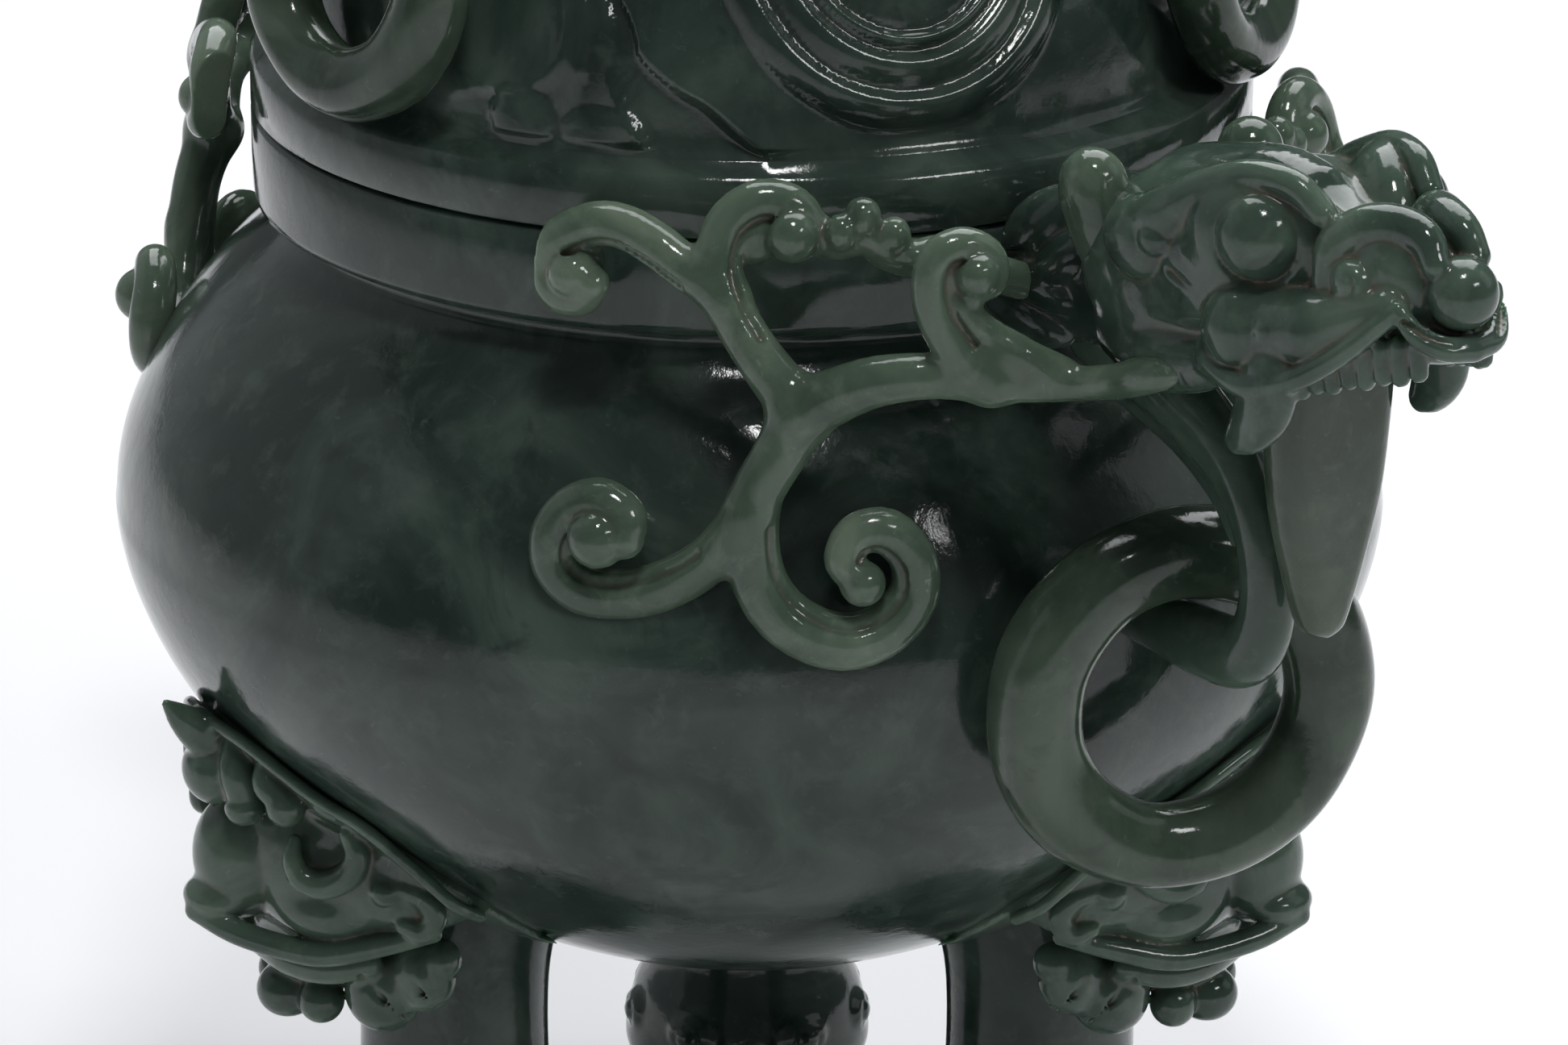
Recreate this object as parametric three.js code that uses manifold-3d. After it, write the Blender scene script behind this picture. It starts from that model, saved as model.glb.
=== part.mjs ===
// A covered tripod censer carved from green jade: a squat round bowl on three paw feet with lion
// masks, two dragon-head handles with loose rings, and a domed lid with three loose knocker rings.
// Heights are measured from the bowl's widest level, and the whole model is raised by BELLY_HEIGHT
// so that its feet stand on z = 0. The handles point along +X and -X, and one leg points along -Y.
import * as THREE from "three";
import { mergeVertices } from "three/addons/utils/BufferGeometryUtils.js";
import Module from "manifold-3d";

const wasm = await Module();
wasm.setup();

// Driving dimensions, mm.
const BELLY_RADIUS = 80;
const BELLY_HEIGHT = 110;
const BELLY_DEPTH = 61.7;
const BELLY_EXPONENT = 1.72;
const WALL = 7;
const COLLAR_RADIUS = 62;
const COLLAR_TOP = 50.8;
const COLLAR_BOTTOM = 39.3;
const MOUTH_RADIUS = 54;
const LID_BAND_TOP = 58.8;
const LID_WALL = 6;
const LID_TURN = 10;
const LID_CROWN = 105;
const FLANGE_RADIUS = 53;
const FLANGE_BOTTOM = 45;
const FINIAL_TOP = 145;
const LEG_RADIUS_FROM_AXIS = 43;
const LEG_BEARINGS = { front: -94, right: 26, left: 146 };
const HANDLE_BEARINGS = { right: 0, left: 180 };
const TONGUE_THICKNESS = 6.8;
const TONGUE_BEVEL = 1.4;
const RING_MAJOR = 17.5;
const RING_TUBE = 5.3;
const RING_REACH = 89.7;
const RING_TURN = -17;
const BAR_HEIGHT = 8.4;
const BAR_RADIUS = 3.9;
const LID_RING_MAJOR = 14.6;
const LID_RING_TUBE = 4.4;
const LID_RING_REACH = 58;
const LID_RING_HEIGHT = 92.4;
const LID_RING_LEAN = 9.5;
const GAP = 0.3;
const ROUND = 36;

const UP = new THREE.Vector3(0, 0, 1);
const rad = THREE.MathUtils.degToRad;
const at = (x, y, z) => new THREE.Vector3(x, y, z);
const onBearing = (bearing, radius, height) =>
  at(radius * Math.cos(rad(bearing)), radius * Math.sin(rad(bearing)), height);

const JADE = { color: 0x24402f, roughness: 0.12, metalness: 0 };
const PALE_JADE = { color: 0x4f6b4f, roughness: 0.15, metalness: 0 };

// Solids: a three.js geometry becomes a manifold solid, and goes back to a geometry at the end.
function solid(geometry) {
  const bare = geometry.index ? geometry.toNonIndexed() : geometry.clone();
  bare.deleteAttribute("normal");
  bare.deleteAttribute("uv");
  const merged = mergeVertices(bare, 1e-4);
  return new wasm.Manifold(
    new wasm.Mesh({
      numProp: 3,
      vertProperties: merged.attributes.position.array,
      triVerts: new Uint32Array(merged.index.array),
    }),
  );
}

function geometryOf(shape) {
  const mesh = shape.getMesh();
  const geometry = new THREE.BufferGeometry();
  geometry.setAttribute("position", new THREE.BufferAttribute(mesh.vertProperties, 3));
  geometry.setIndex(new THREE.BufferAttribute(mesh.triVerts, 1));
  geometry.computeVertexNormals();
  return geometry;
}

const join = (shapes) => shapes.reduce((sum, shape) => sum.add(shape));

// Cuts the neighbours' spaces out of a shape, and drops any crumb that the cut leaves loose.
function carve(shape, neighbours) {
  const rest = neighbours.reduce((left, cut) => left.subtract(cut), shape);
  return rest.decompose().sort((a, b) => b.volume() - a.volume())[0];
}

// A turned solid about the vertical axis, from a profile of [radius, height] pairs going up the outside.
function turned(profile, segments = ROUND) {
  const points = profile.map(([radius, height]) => new THREE.Vector2(Math.max(radius, 0), height));
  return solid(new THREE.LatheGeometry(points, segments).rotateX(Math.PI / 2));
}

function ellipsoid(centre, [rx, ry, rz], { around = 7, along = 4, tilt = 0 } = {}) {
  const geometry = new THREE.SphereGeometry(1, around, along).rotateX(Math.PI / 2);
  geometry.scale(rx, ry, rz).rotateY(rad(-tilt)).translate(centre.x, centre.y, centre.z);
  return solid(geometry);
}

function cylinderBetween(from, to, startRadius, endRadius, sides = 8) {
  const axis = to.clone().sub(from);
  const geometry = new THREE.CylinderGeometry(endRadius, startRadius, axis.length(), sides);
  const turn = new THREE.Quaternion().setFromUnitVectors(at(0, 1, 0), axis.clone().normalize());
  const middle = from.clone().add(to).multiplyScalar(0.5);
  geometry.applyQuaternion(turn).translate(middle.x, middle.y, middle.z);
  return solid(geometry);
}

// A round bar swept along a smooth curve through the given points.
function bar(points, radius, steps, sides = 7) {
  const section = new THREE.Shape();
  for (let i = 0; i < sides; i++) {
    const angle = (2 * Math.PI * i) / sides;
    const corner = [radius * Math.cos(angle), radius * Math.sin(angle)];
    if (i === 0) section.moveTo(...corner);
    else section.lineTo(...corner);
  }
  const path = new THREE.CatmullRomCurve3(points);
  return solid(
    new THREE.ExtrudeGeometry(section, { steps, curveSegments: 1, bevelEnabled: false, extrudePath: path }),
  );
}

const sideways = (shape) => shape.mirror([0, 1, 0]);

// The bowl: a superellipse below its widest level, a shoulder, and an upright collar round the mouth.
function bellyProfile(grow) {
  const profile = [];
  const steps = 8;
  for (let i = 0; i <= steps; i++) {
    const angle = (Math.PI / 2) * (i / steps);
    const reach = BELLY_RADIUS * Math.sin(angle) ** (2 / BELLY_EXPONENT);
    const drop = BELLY_DEPTH * Math.cos(angle) ** (2 / BELLY_EXPONENT);
    profile.push([i === 0 ? 0 : reach + grow, -drop - grow * Math.cos(angle)]);
  }
  const shoulder = [[77.5, 12], [72, 22], [66, 30], [60, 35], [58, 38]];
  profile.push(...shoulder.map(([r, h]) => [r + grow, h]));
  profile.push([COLLAR_RADIUS + grow, COLLAR_BOTTOM]);
  return profile;
}

function makeBowl() {
  const inside = [
    [MOUTH_RADIUS, COLLAR_TOP],
    [MOUTH_RADIUS, FLANGE_BOTTOM - 2],
    [MOUTH_RADIUS - 3, 34],
    [BELLY_RADIUS - WALL - 8, 20],
    [BELLY_RADIUS - WALL, 0],
    [BELLY_RADIUS - WALL - 8, -25],
    [44, -43],
    [0, WALL - BELLY_DEPTH],
  ];
  return turned([...bellyProfile(0), [COLLAR_RADIUS, COLLAR_TOP], ...inside]);
}

// The space that the bowl and the lid's path above it take, for cutting the pieces round them.
const bowlSpace = turned([
  ...bellyProfile(GAP),
  [COLLAR_RADIUS + GAP, LID_BAND_TOP + 20],
  [0, LID_BAND_TOP + 20],
]);

// One leg, in a frame where it stands out along +X: a waisted shaft, a paw and its toes.
const LEG_PROFILE = [
  [0, -BELLY_HEIGHT],
  [15.5, -BELLY_HEIGHT],
  [17.2, -106],
  [16.2, -99],
  [17.4, -94.5],
  [16.4, -88],
  [13.4, -82],
  [12, -68],
  [12.4, -56],
  [14.5, -46],
  [0, -46],
];
const TOE_BEARINGS = [-42, 0, 42];

function legSolid(grow) {
  const profile = LEG_PROFILE.map(([r, h]) => [r > 0 ? r + grow : 0, h]);
  const shaft = turned(profile, 14).translate([LEG_RADIUS_FROM_AXIS, 0, 0]);
  const toes = TOE_BEARINGS.map((bearing) => {
    const offset = onBearing(bearing, 12.5, 0);
    const toe = at(LEG_RADIUS_FROM_AXIS + offset.x, offset.y, -BELLY_HEIGHT + 5.5);
    return ellipsoid(toe, [7.5 + grow, 5 + grow, 6.5 + grow]);
  });
  const ground = solid(new THREE.BoxGeometry(200, 200, 100).translate(0, 0, -BELLY_HEIGHT + 50));
  return join([shaft, ...toes]).intersect(ground);
}

// A lion mask on the bowl above a leg: brow, muzzle, cheeks, curled ears and a bearded chin.
function lionMask() {
  const paired = [
    ellipsoid(at(64, 12, -24), [9, 8, 6]),
    ellipsoid(at(56, 20, -33), [12, 6.5, 11]),
    ellipsoid(at(66, 8, -44), [8, 7.5, 6]),
    cylinderBetween(at(68, 15, -28), at(76, 17, -17), 4.6, 1.8, 7),
  ];
  return join([
    ellipsoid(at(62, 0, -35), [16.5, 19, 17], { around: 12, along: 7 }),
    ellipsoid(at(70, 0, -30), [9.2, 8, 8.5]),
    ellipsoid(at(63, 0, -52), [8, 12, 6.5]),
    ...paired,
    ...paired.map(sideways),
  ]);
}

// The dragon handle, in a frame where it points out along +X. Each piece is cut where its neighbours
// go, and grow swells a piece by the gap that is kept round it.
function neckSolid(grow) {
  return bar([at(50, 0, 43.5), at(72, 0, 47), at(92 + grow, 0, 50)], 8.6 + grow, 4, 10);
}

function headSolid(grow) {
  const lump = (centre, radii, options) => ellipsoid(centre, radii.map((r) => r + grow), options);
  const paired = [
    lump(at(93, 11, 51), [12, 6.5, 9]),
    lump(at(111, 9.5, 63.5), [7.5, 6, 6]),
    lump(at(114, 10.5, 50), [8, 4, 4.5], { tilt: 25 }),
    lump(at(131, 5.2, 60.5), [6, 4.6, 5]),
    cylinderBetween(at(117, 11.5, 50), at(114, 12.6, 38.5 - grow), 3.4 + grow, 1.1 + grow, 7),
  ];
  return join([
    lump(at(98, 0, 56), [17, 14.5, 12.5], { around: 12, along: 7 }),
    lump(at(119, 0, 57.5), [18, 10.5, 8.5], { around: 10, along: 6, tilt: 20 }),
    lump(at(115, 0, 67), [11, 6, 5]),
    lump(at(134, 0, 58.5), [6, 6.5, 4.5]),
    ...paired,
    ...paired.map(sideways),
  ]);
}

// The hanger is the bracket under the head whose level bar goes through the loose ring.
function hangerSolid(grow) {
  return join([
    cylinderBetween(at(72, 0, 38), at(103.5, 0, 27), 5 + grow, 3.6 + grow),
    cylinderBetween(at(103.5, 0, 30), at(104.2, 0, BAR_HEIGHT), 3.6 + grow, 4 + grow),
    ellipsoid(at(104, 0, BAR_HEIGHT + 1), [5 + grow, 5 + grow, 5.4 + grow]),
    cylinderBetween(at(72, 0, BAR_HEIGHT), at(104, 0, BAR_HEIGHT), BAR_RADIUS - 0.9 + grow, BAR_RADIUS + grow),
  ]);
}

// The tongue and beard hang from the mouth as one tapering plate in the handle's middle plane.
function tongueSolid() {
  const outline = new THREE.Shape();
  outline.moveTo(109.5, 54);
  outline.quadraticCurveTo(108.5, 32, 113.4, 18.5);
  outline.quadraticCurveTo(116, 14, 118.4, 18.5);
  outline.quadraticCurveTo(122, 34, 124, 54);
  outline.closePath();
  const plate = new THREE.ExtrudeGeometry(outline, {
    depth: TONGUE_THICKNESS - 2 * TONGUE_BEVEL,
    curveSegments: 5,
    bevelThickness: TONGUE_BEVEL,
    bevelSize: TONGUE_BEVEL,
    bevelOffset: -TONGUE_BEVEL,
    bevelSegments: 1,
  });
  plate.rotateX(Math.PI / 2).translate(0, TONGUE_THICKNESS / 2 - TONGUE_BEVEL, 0);
  return solid(plate);
}

function hornSolid(grow) {
  return cylinderBetween(at(93, 9.5, 58), at(86, 12.4, 67.5), 4.6 + grow, 3.8 + grow, 8);
}

// The mane: a branch from the cheek to a fork, and five curls. Each stem point is a bearing from the
// handle, a radius from the bowl's axis and a height; each curl winds into its own centre.
const MANE_BAR = 3.1;
const BRANCH = [[-8.5, 97, 47], [-12.5, 91, 42.4], [-20, 84, 40.8], [-30, 78, 37.7]];
const MANE_CURLS = [
  {
    stem: [[-30, 78, 37.7], [-34.5, 75.5, 46]],
    bearing: -32.6, radius: 74.5, height: 53, size: 5.6, start: 180, sweep: -330,
  },
  {
    stem: [[-35, 75.5, 46], [-42.5, 73.2, 52.3]],
    bearing: -49, radius: 72.5, height: 49.5, size: 5.6, start: 90, sweep: 330,
  },
  {
    stem: [[-30, 78, 37.7], [-31.5, 79, 30]],
    bearing: -27.3, radius: 80.5, height: 18, size: 10.6, start: 180, sweep: 380,
  },
  {
    stem: [[-34.5, 79.5, 21], [-39.5, 78.5, 15.5]],
    bearing: -47, radius: 78, height: 19, size: 7.6, start: 270, sweep: -330,
  },
  {
    stem: [[-20, 85, 40.5], [-20, 85.5, 44.5]],
    bearing: -17.4, radius: 83.5, height: 51.6, size: 5, start: 180, sweep: -320,
  },
];
const STRAND = [[-29, 73.5, 53.5], [-20, 72, 53], [-7, 71, 52]];

function curlPoints({ stem, bearing, radius, height, size, start, sweep }) {
  const centre = onBearing(bearing, radius, height);
  const towardHead = at(-Math.sin(rad(bearing)), Math.cos(rad(bearing)), 0);
  const steps = 6;
  const spiral = [];
  for (let i = 0; i <= steps; i++) {
    const angle = rad(start + (sweep * i) / steps);
    const reach = size * (1 - (0.62 * i) / steps);
    const point = centre.clone().addScaledVector(towardHead, reach * Math.cos(angle));
    spiral.push(point.addScaledVector(UP, reach * Math.sin(angle)));
  }
  return [...stem.map((point) => onBearing(...point)), ...spiral];
}

function maneScroll(cutters) {
  const curls = MANE_CURLS.map((curl) => bar(curlPoints(curl), MANE_BAR, 9, 5));
  const branch = bar(BRANCH.map((point) => onBearing(...point)), MANE_BAR, 4, 5);
  const strand = bar(STRAND.map((point) => onBearing(...point)), MANE_BAR, 3, 5);
  return carve(join([branch, strand, ...curls]), cutters);
}

function handleRing() {
  const ring = new THREE.TorusGeometry(RING_MAJOR, RING_TUBE, 8, 22).rotateY(Math.PI / 2);
  const hang = BAR_HEIGHT + BAR_RADIUS + GAP - (RING_MAJOR - RING_TUBE);
  return ring.rotateZ(rad(RING_TURN)).translate(RING_REACH, 0, hang);
}

// The lid: a thin dome with an upright band, and a flange below it that sits inside the mouth.
const LID_OUTSIDE = [
  [COLLAR_RADIUS, COLLAR_TOP + GAP],
  [COLLAR_RADIUS, LID_BAND_TOP - 1],
  [58.5, LID_BAND_TOP + 1],
  [57.5, 66],
  [55, 76],
  [50, 86],
  [42, 95],
  [32, 101],
  [20, 104.5],
];

function lidSolid(grow) {
  const outside = LID_OUTSIDE.map(([r, h]) => [r + grow, h + grow]);
  const inside = [
    [0, LID_CROWN - LID_WALL],
    [28, 94],
    [42, 83],
    [49, 68],
    [FLANGE_RADIUS - 4, FLANGE_BOTTOM],
    [FLANGE_RADIUS, FLANGE_BOTTOM],
    [FLANGE_RADIUS, COLLAR_TOP + GAP],
  ];
  const profile = [...outside, [0, LID_CROWN + grow]];
  if (grow > 0) return turned([[0, COLLAR_TOP], ...profile]);
  return turned([...inside.slice(-1), ...profile, ...inside]);
}

function makeFinial() {
  return turned([
    [0, LID_CROWN + GAP],
    [17, LID_CROWN + GAP],
    [18.5, 108],
    [10, 113],
    [16.5, 121],
    [14, 125],
    [16, 131],
    [9, 141],
    [3, FINIAL_TOP],
    [0, FINIAL_TOP],
  ], 18);
}

// A small lion mask on the lid, along +X, that holds a loop in its mouth.
function lidMaskSolid(grow) {
  const lump = (centre, radii) => ellipsoid(centre, radii.map((r) => r + grow));
  const paired = [
    lump(at(49, 7, 101), [4.5, 4, 3.5]),
    lump(at(40, 10, 104), [5, 4.5, 6]),
  ];
  return join([
    ellipsoid(at(42, 0, 98), [10.5 + grow, 13 + grow, 11.5 + grow], { around: 10, along: 6 }),
    lump(at(50.5, 0, 100), [4.5, 4.5, 4.5]),
    ...paired,
    ...paired.map(sideways),
  ]);
}

function lidLoop() {
  const loop = new THREE.TorusGeometry(7.6, 2.3, 6, 12).rotateX(Math.PI / 2);
  return solid(loop.translate(LID_RING_REACH, 0, LID_RING_HEIGHT));
}

function lidRing() {
  const ring = new THREE.TorusGeometry(LID_RING_MAJOR, LID_RING_TUBE, 7, 18).rotateY(Math.PI / 2);
  ring.translate(0, 0, -LID_RING_MAJOR).rotateY(rad(-LID_RING_LEAN));
  return ring.translate(LID_RING_REACH, 0, LID_RING_HEIGHT);
}

// The assembly: every piece is a named mesh in a group turned to its bearing.
const censer = new THREE.Group();
censer.position.z = BELLY_HEIGHT;

function addPiece(parent, name, shape, look) {
  const geometry = shape.isBufferGeometry ? shape : geometryOf(shape);
  const mesh = new THREE.Mesh(geometry, new THREE.MeshStandardMaterial(look));
  mesh.name = name;
  parent.add(mesh);
}

function turnedGroup(parent, bearing) {
  const group = new THREE.Group();
  group.rotation.z = rad(bearing);
  parent.add(group);
  return group;
}

addPiece(censer, "bowl", makeBowl(), JADE);

const leg = carve(legSolid(0), [bowlSpace]);
const mask = carve(lionMask(), [bowlSpace, legSolid(GAP)]);
for (const [side, bearing] of Object.entries(LEG_BEARINGS)) {
  const group = turnedGroup(censer, bearing);
  addPiece(group, `leg_${side}`, leg, JADE);
  addPiece(group, `lion_mask_${side}`, mask, JADE);
}

const neckSpace = neckSolid(GAP);
const headSpace = headSolid(GAP);
const hangerSpace = hangerSolid(GAP);
const hornSpaces = [hornSolid(GAP), sideways(hornSolid(GAP))];
const neck = carve(neckSolid(0), [bowlSpace]);
const head = carve(headSolid(0), [bowlSpace, neckSpace]);
const hanger = carve(hangerSolid(0), [bowlSpace, neckSpace, headSpace]);
const tongue = carve(tongueSolid(), [headSpace, hangerSpace]);
const horn = carve(hornSolid(0), [headSpace, neckSpace]);
const mane = maneScroll([bowlSpace, neckSpace, headSpace, ...hornSpaces]);
for (const [side, bearing] of Object.entries(HANDLE_BEARINGS)) {
  const group = turnedGroup(censer, bearing);
  addPiece(group, `dragon_neck_${side}`, neck, JADE);
  addPiece(group, `dragon_head_${side}`, head, JADE);
  addPiece(group, `dragon_tongue_${side}`, tongue, PALE_JADE);
  addPiece(group, `ring_hanger_${side}`, hanger, JADE);
  addPiece(group, `handle_ring_${side}`, handleRing(), PALE_JADE);
  addPiece(group, `dragon_horn_${side}_a`, horn, PALE_JADE);
  addPiece(group, `dragon_horn_${side}_b`, sideways(horn), PALE_JADE);
  addPiece(group, `mane_scroll_${side}_a`, sideways(mane), PALE_JADE);
  addPiece(group, `mane_scroll_${side}_b`, mane, PALE_JADE);
}

// The lid and what is on it turn together by LID_TURN from the legs.
const lidGroup = turnedGroup(censer, LID_TURN);
addPiece(lidGroup, "lid_dome", lidSolid(0), JADE);
addPiece(lidGroup, "finial", makeFinial(), JADE);
const lidSpace = lidSolid(GAP);
const smallMask = carve(lidMaskSolid(0), [lidSpace]);
const loop = carve(lidLoop(), [lidSpace, lidMaskSolid(GAP)]);
for (const [side, bearing] of Object.entries(LEG_BEARINGS)) {
  const group = turnedGroup(lidGroup, bearing);
  addPiece(group, `lid_mask_${side}`, smallMask, JADE);
  addPiece(group, `lid_loop_${side}`, loop, JADE);
  addPiece(group, `lid_ring_${side}`, lidRing(), PALE_JADE);
}

export default censer;
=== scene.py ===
"""A covered tripod censer carved from polished green jade, standing on a pale table."""

import math

import bpy
import numpy as np
from mathutils import Matrix, Vector


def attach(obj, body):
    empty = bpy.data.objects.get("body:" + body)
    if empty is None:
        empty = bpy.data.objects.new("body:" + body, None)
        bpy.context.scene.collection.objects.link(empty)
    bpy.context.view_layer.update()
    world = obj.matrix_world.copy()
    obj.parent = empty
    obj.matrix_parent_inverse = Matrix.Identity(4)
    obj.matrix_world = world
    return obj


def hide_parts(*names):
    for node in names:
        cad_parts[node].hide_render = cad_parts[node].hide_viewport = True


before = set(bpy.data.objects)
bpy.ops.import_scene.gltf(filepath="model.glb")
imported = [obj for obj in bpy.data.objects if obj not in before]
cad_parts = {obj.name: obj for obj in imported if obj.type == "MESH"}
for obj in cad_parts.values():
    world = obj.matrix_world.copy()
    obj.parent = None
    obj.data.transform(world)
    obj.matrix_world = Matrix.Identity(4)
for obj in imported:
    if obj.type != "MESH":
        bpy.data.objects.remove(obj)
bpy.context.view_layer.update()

# Sizes are in millimetres and bearings in degrees. Every sculpt's heights are measured from the bowl's
# widest level, which is BELLY above the table.
MM = 0.001
FAR = 1000.0
BELLY = 110.0
BELLY_RADIUS = 80.0
BELLY_DEPTH = 61.7
BELLY_EXPONENT = 1.72
HANDLES = {"right": 0, "left": 180}
LEGS = {"front": -94, "right": 26, "left": 146}
LEG_REACH = 43.0
LID_TURN = 10.0
RING_MAJOR = 18.2
RING_TUBE = 5.3
RING_REACH = 89.7
RING_TURN = -17.0
BAR_HEIGHT = 8.4
BAR_RADIUS = 3.9
LID_RING_MAJOR = 14.6
LID_RING_TUBE = 4.4
LID_RING_REACH = 58.0
LID_RING_HEIGHT = 92.4
LID_RING_LEAN = 9.5
COARSE = 1.0


# Sculpting: a block of stone is a distance field on a grid of samples, in millimetres. Shapes are
# added to it and cut from it with soft edges, and its surface becomes a smooth closed mesh.


def smooth_min(a, b, blend):
    """The lower of two distance fields, with the corner between them rounded over blend."""
    if blend <= 0:
        return np.minimum(a, b)
    near = np.maximum(blend - np.abs(a - b), 0) / blend
    return np.minimum(a, b) - near * near * (blend / 4)


def window(axes, low, high, margin):
    """The slices and the sample coordinates of the part of a grid near a box."""
    cuts, places = [], []
    for i, axis in enumerate(axes):
        line = axis.ravel()
        start = np.searchsorted(line, low[i] - margin)
        stop = np.searchsorted(line, high[i] + margin)
        cuts.append(slice(start, stop))
        shape = [1, 1, 1]
        shape[i] = -1
        places.append(line[start:stop].reshape(shape).astype(np.float32))
    return tuple(cuts), places


class Clay:
    """A block of stone from low to high, in mm. A mirrored block is sculpted where y < 0 and doubled."""

    def __init__(self, low, high, grain, mirrored=False):
        self.grain = grain * COARSE
        self.mirrored = mirrored
        low, high = np.array(low, float), np.array(high, float)
        if mirrored:
            low[1], high[1] = -self.grain * math.ceil(-low[1] / self.grain), 0.0
        self.low = low
        counts = np.round((high - low) / self.grain).astype(int) + 1
        self.axes = [low[i] + self.grain * np.arange(counts[i]) for i in range(3)]
        self.field = np.full(counts, FAR, np.float32)

    def near(self, shape, blend):
        low, high, distance = shape
        cuts, places = window(self.axes, low, high, blend + 3 * self.grain)
        if any(place.size == 0 for place in places):
            return cuts, None
        return cuts, distance(*places)

    def add(self, shape, blend=1):
        cuts, field = self.near(shape, blend)
        if field is not None:
            self.field[cuts] = smooth_min(self.field[cuts], field, blend)

    def cut(self, shape, blend=0.6):
        cuts, field = self.near(shape, blend)
        if field is not None:
            self.field[cuts] = -smooth_min(-self.field[cuts], field, blend)

    def surface(self):
        """The block's skin, as (points, quads), by the surface-nets method."""
        field = self.field
        if self.mirrored:
            field = np.concatenate([field, field[:, -2::-1]], axis=1)
        field = np.pad(field, 1, constant_values=FAR)
        solid = field < 0
        steps = [(i, j, k) for i in (0, 1) for j in (0, 1) for k in (0, 1)]
        size = np.array(field.shape) - 1
        window = [tuple(slice(s, s + n) for s, n in zip(step, size)) for step in steps]
        filled = sum(solid[w].astype(np.int8) for w in window)
        mixed = (filled > 0) & (filled < 8)
        number = np.full(mixed.shape, -1, np.int64)
        number[mixed] = np.arange(mixed.sum())
        cells = np.argwhere(mixed)
        values = np.stack([field[w][mixed] for w in window], axis=1)
        total = np.zeros((len(cells), 3))
        crossings = np.zeros(len(cells))
        for a, start in enumerate(steps):
            for b, stop in enumerate(steps):
                if b <= a or sum(abs(p - q) for p, q in zip(start, stop)) != 1:
                    continue
                here = (values[:, a] < 0) != (values[:, b] < 0)
                share = values[here, a] / (values[here, a] - values[here, b])
                ends = np.array(start), np.array(stop)
                total[here] += ends[0] + share[:, None] * (ends[1] - ends[0])
                crossings[here] += 1
        origin = self.low - self.grain
        points = origin + self.grain * (cells + total / crossings[:, None])
        quads = []
        for axis in range(3):
            first = [slice(1, -1)] * 3
            first[axis] = slice(0, -1)
            second = list(first)
            second[axis] = slice(1, None)
            outward = solid[tuple(first)].astype(np.int8) - solid[tuple(second)]
            p, q = [i for i in range(3) if i != axis]
            for sign in (1, -1):
                at = np.argwhere(outward == sign)
                at[:, p] += 1
                at[:, q] += 1
                corners = []
                for dp, dq in ((1, 1), (0, 1), (0, 0), (1, 0)):
                    cell = at.copy()
                    cell[:, p] -= dp
                    cell[:, q] -= dq
                    corners.append(number[tuple(cell.T)])
                if (sign > 0) == (axis == 1):
                    corners.reverse()
                quads.append(np.stack(corners, axis=1))
        return points, np.concatenate(quads)


def ball(centre, radii, turn=None):
    """A ball of one radius or of three; turn is a Matrix whose columns are its own axes."""
    centre, radii = np.array(centre, float), np.ones(3) * radii
    axes = np.array(turn.to_3x3()) if turn is not None else np.eye(3)
    reach = np.sqrt((axes**2) @ (radii**2))

    def distance(x, y, z):
        d = (x - centre[0], y - centre[1], z - centre[2])
        local = [sum(axes[i, j] * d[i] for i in range(3)) for j in range(3)]
        near = np.sqrt(sum((p / r) ** 2 for p, r in zip(local, radii)))
        slope = np.sqrt(sum((p / r**2) ** 2 for p, r in zip(local, radii)))
        return near * (near - 1) / np.maximum(slope, 1e-6)

    return centre - reach, centre + reach, distance


def rod(start, stop, start_radius, stop_radius, squeeze=(1, 1, 1)):
    """A tapered bar with round ends. squeeze makes its section an oval along the axes."""
    squeeze = np.array(squeeze, float)
    a, b = np.array(start, float), np.array(stop, float)
    thick = max(start_radius, stop_radius)
    low, high = np.minimum(a, b) - thick * squeeze, np.maximum(a, b) + thick * squeeze
    a, b = a / squeeze, b / squeeze
    along = b - a
    length = max(float(along @ along), 1e-9)

    def distance(x, y, z):
        d = (x / squeeze[0] - a[0], y / squeeze[1] - a[1], z / squeeze[2] - a[2])
        t = np.clip(sum(p * q for p, q in zip(d, along)) / length, 0, 1)
        away = np.sqrt(sum((p - t * q) ** 2 for p, q in zip(d, along)))
        return (away - start_radius - t * (stop_radius - start_radius)) * squeeze.min()

    return low, high, distance


STRAND_MARGIN = 3


def strand(points, radii, squeeze=(1, 1, 1)):
    """A bar along a row of points with a radius at each."""
    rods = [rod(*ends, squeeze) for ends in zip(points[:-1], points[1:], radii[:-1], radii[1:])]
    low = np.min([r[0] for r in rods], axis=0)
    high = np.max([r[1] for r in rods], axis=0)

    def distance(x, y, z):
        field = np.full(np.broadcast_shapes(x.shape, y.shape, z.shape), FAR, np.float32)
        for r_low, r_high, r_distance in rods:
            cuts, near = window((x, y, z), r_low, r_high, STRAND_MARGIN)
            if all(part.size for part in near):
                field[cuts] = np.minimum(field[cuts], r_distance(*near))
        return field

    return low, high, distance


def smooth_path(points, count):
    """count points on a Catmull-Rom curve through the given points; each may carry a radius."""
    knots = np.array(points, float)
    knots = np.concatenate([[2 * knots[0] - knots[1]], knots, [2 * knots[-1] - knots[-2]]])
    out = []
    for place in np.linspace(0, len(points) - 1, count):
        i = min(int(place), len(points) - 2)
        t = place - i
        p0, p1, p2, p3 = knots[i : i + 4]
        slopes = (p2 - p0) * t + (2 * p0 - 5 * p1 + 4 * p2 - p3) * t**2
        out.append(0.5 * (2 * p1 + slopes + (3 * p1 - p0 - 3 * p2 + p3) * t**3))
    return np.array(out)


def vine(points, count=24, squeeze=(1, 1, 1)):
    """A strand through a few knots, each (x, y, z, radius)."""
    path = smooth_path(points, count)
    return strand(path[:, :3], path[:, 3], squeeze)


# Meshes and pieces.


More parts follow.
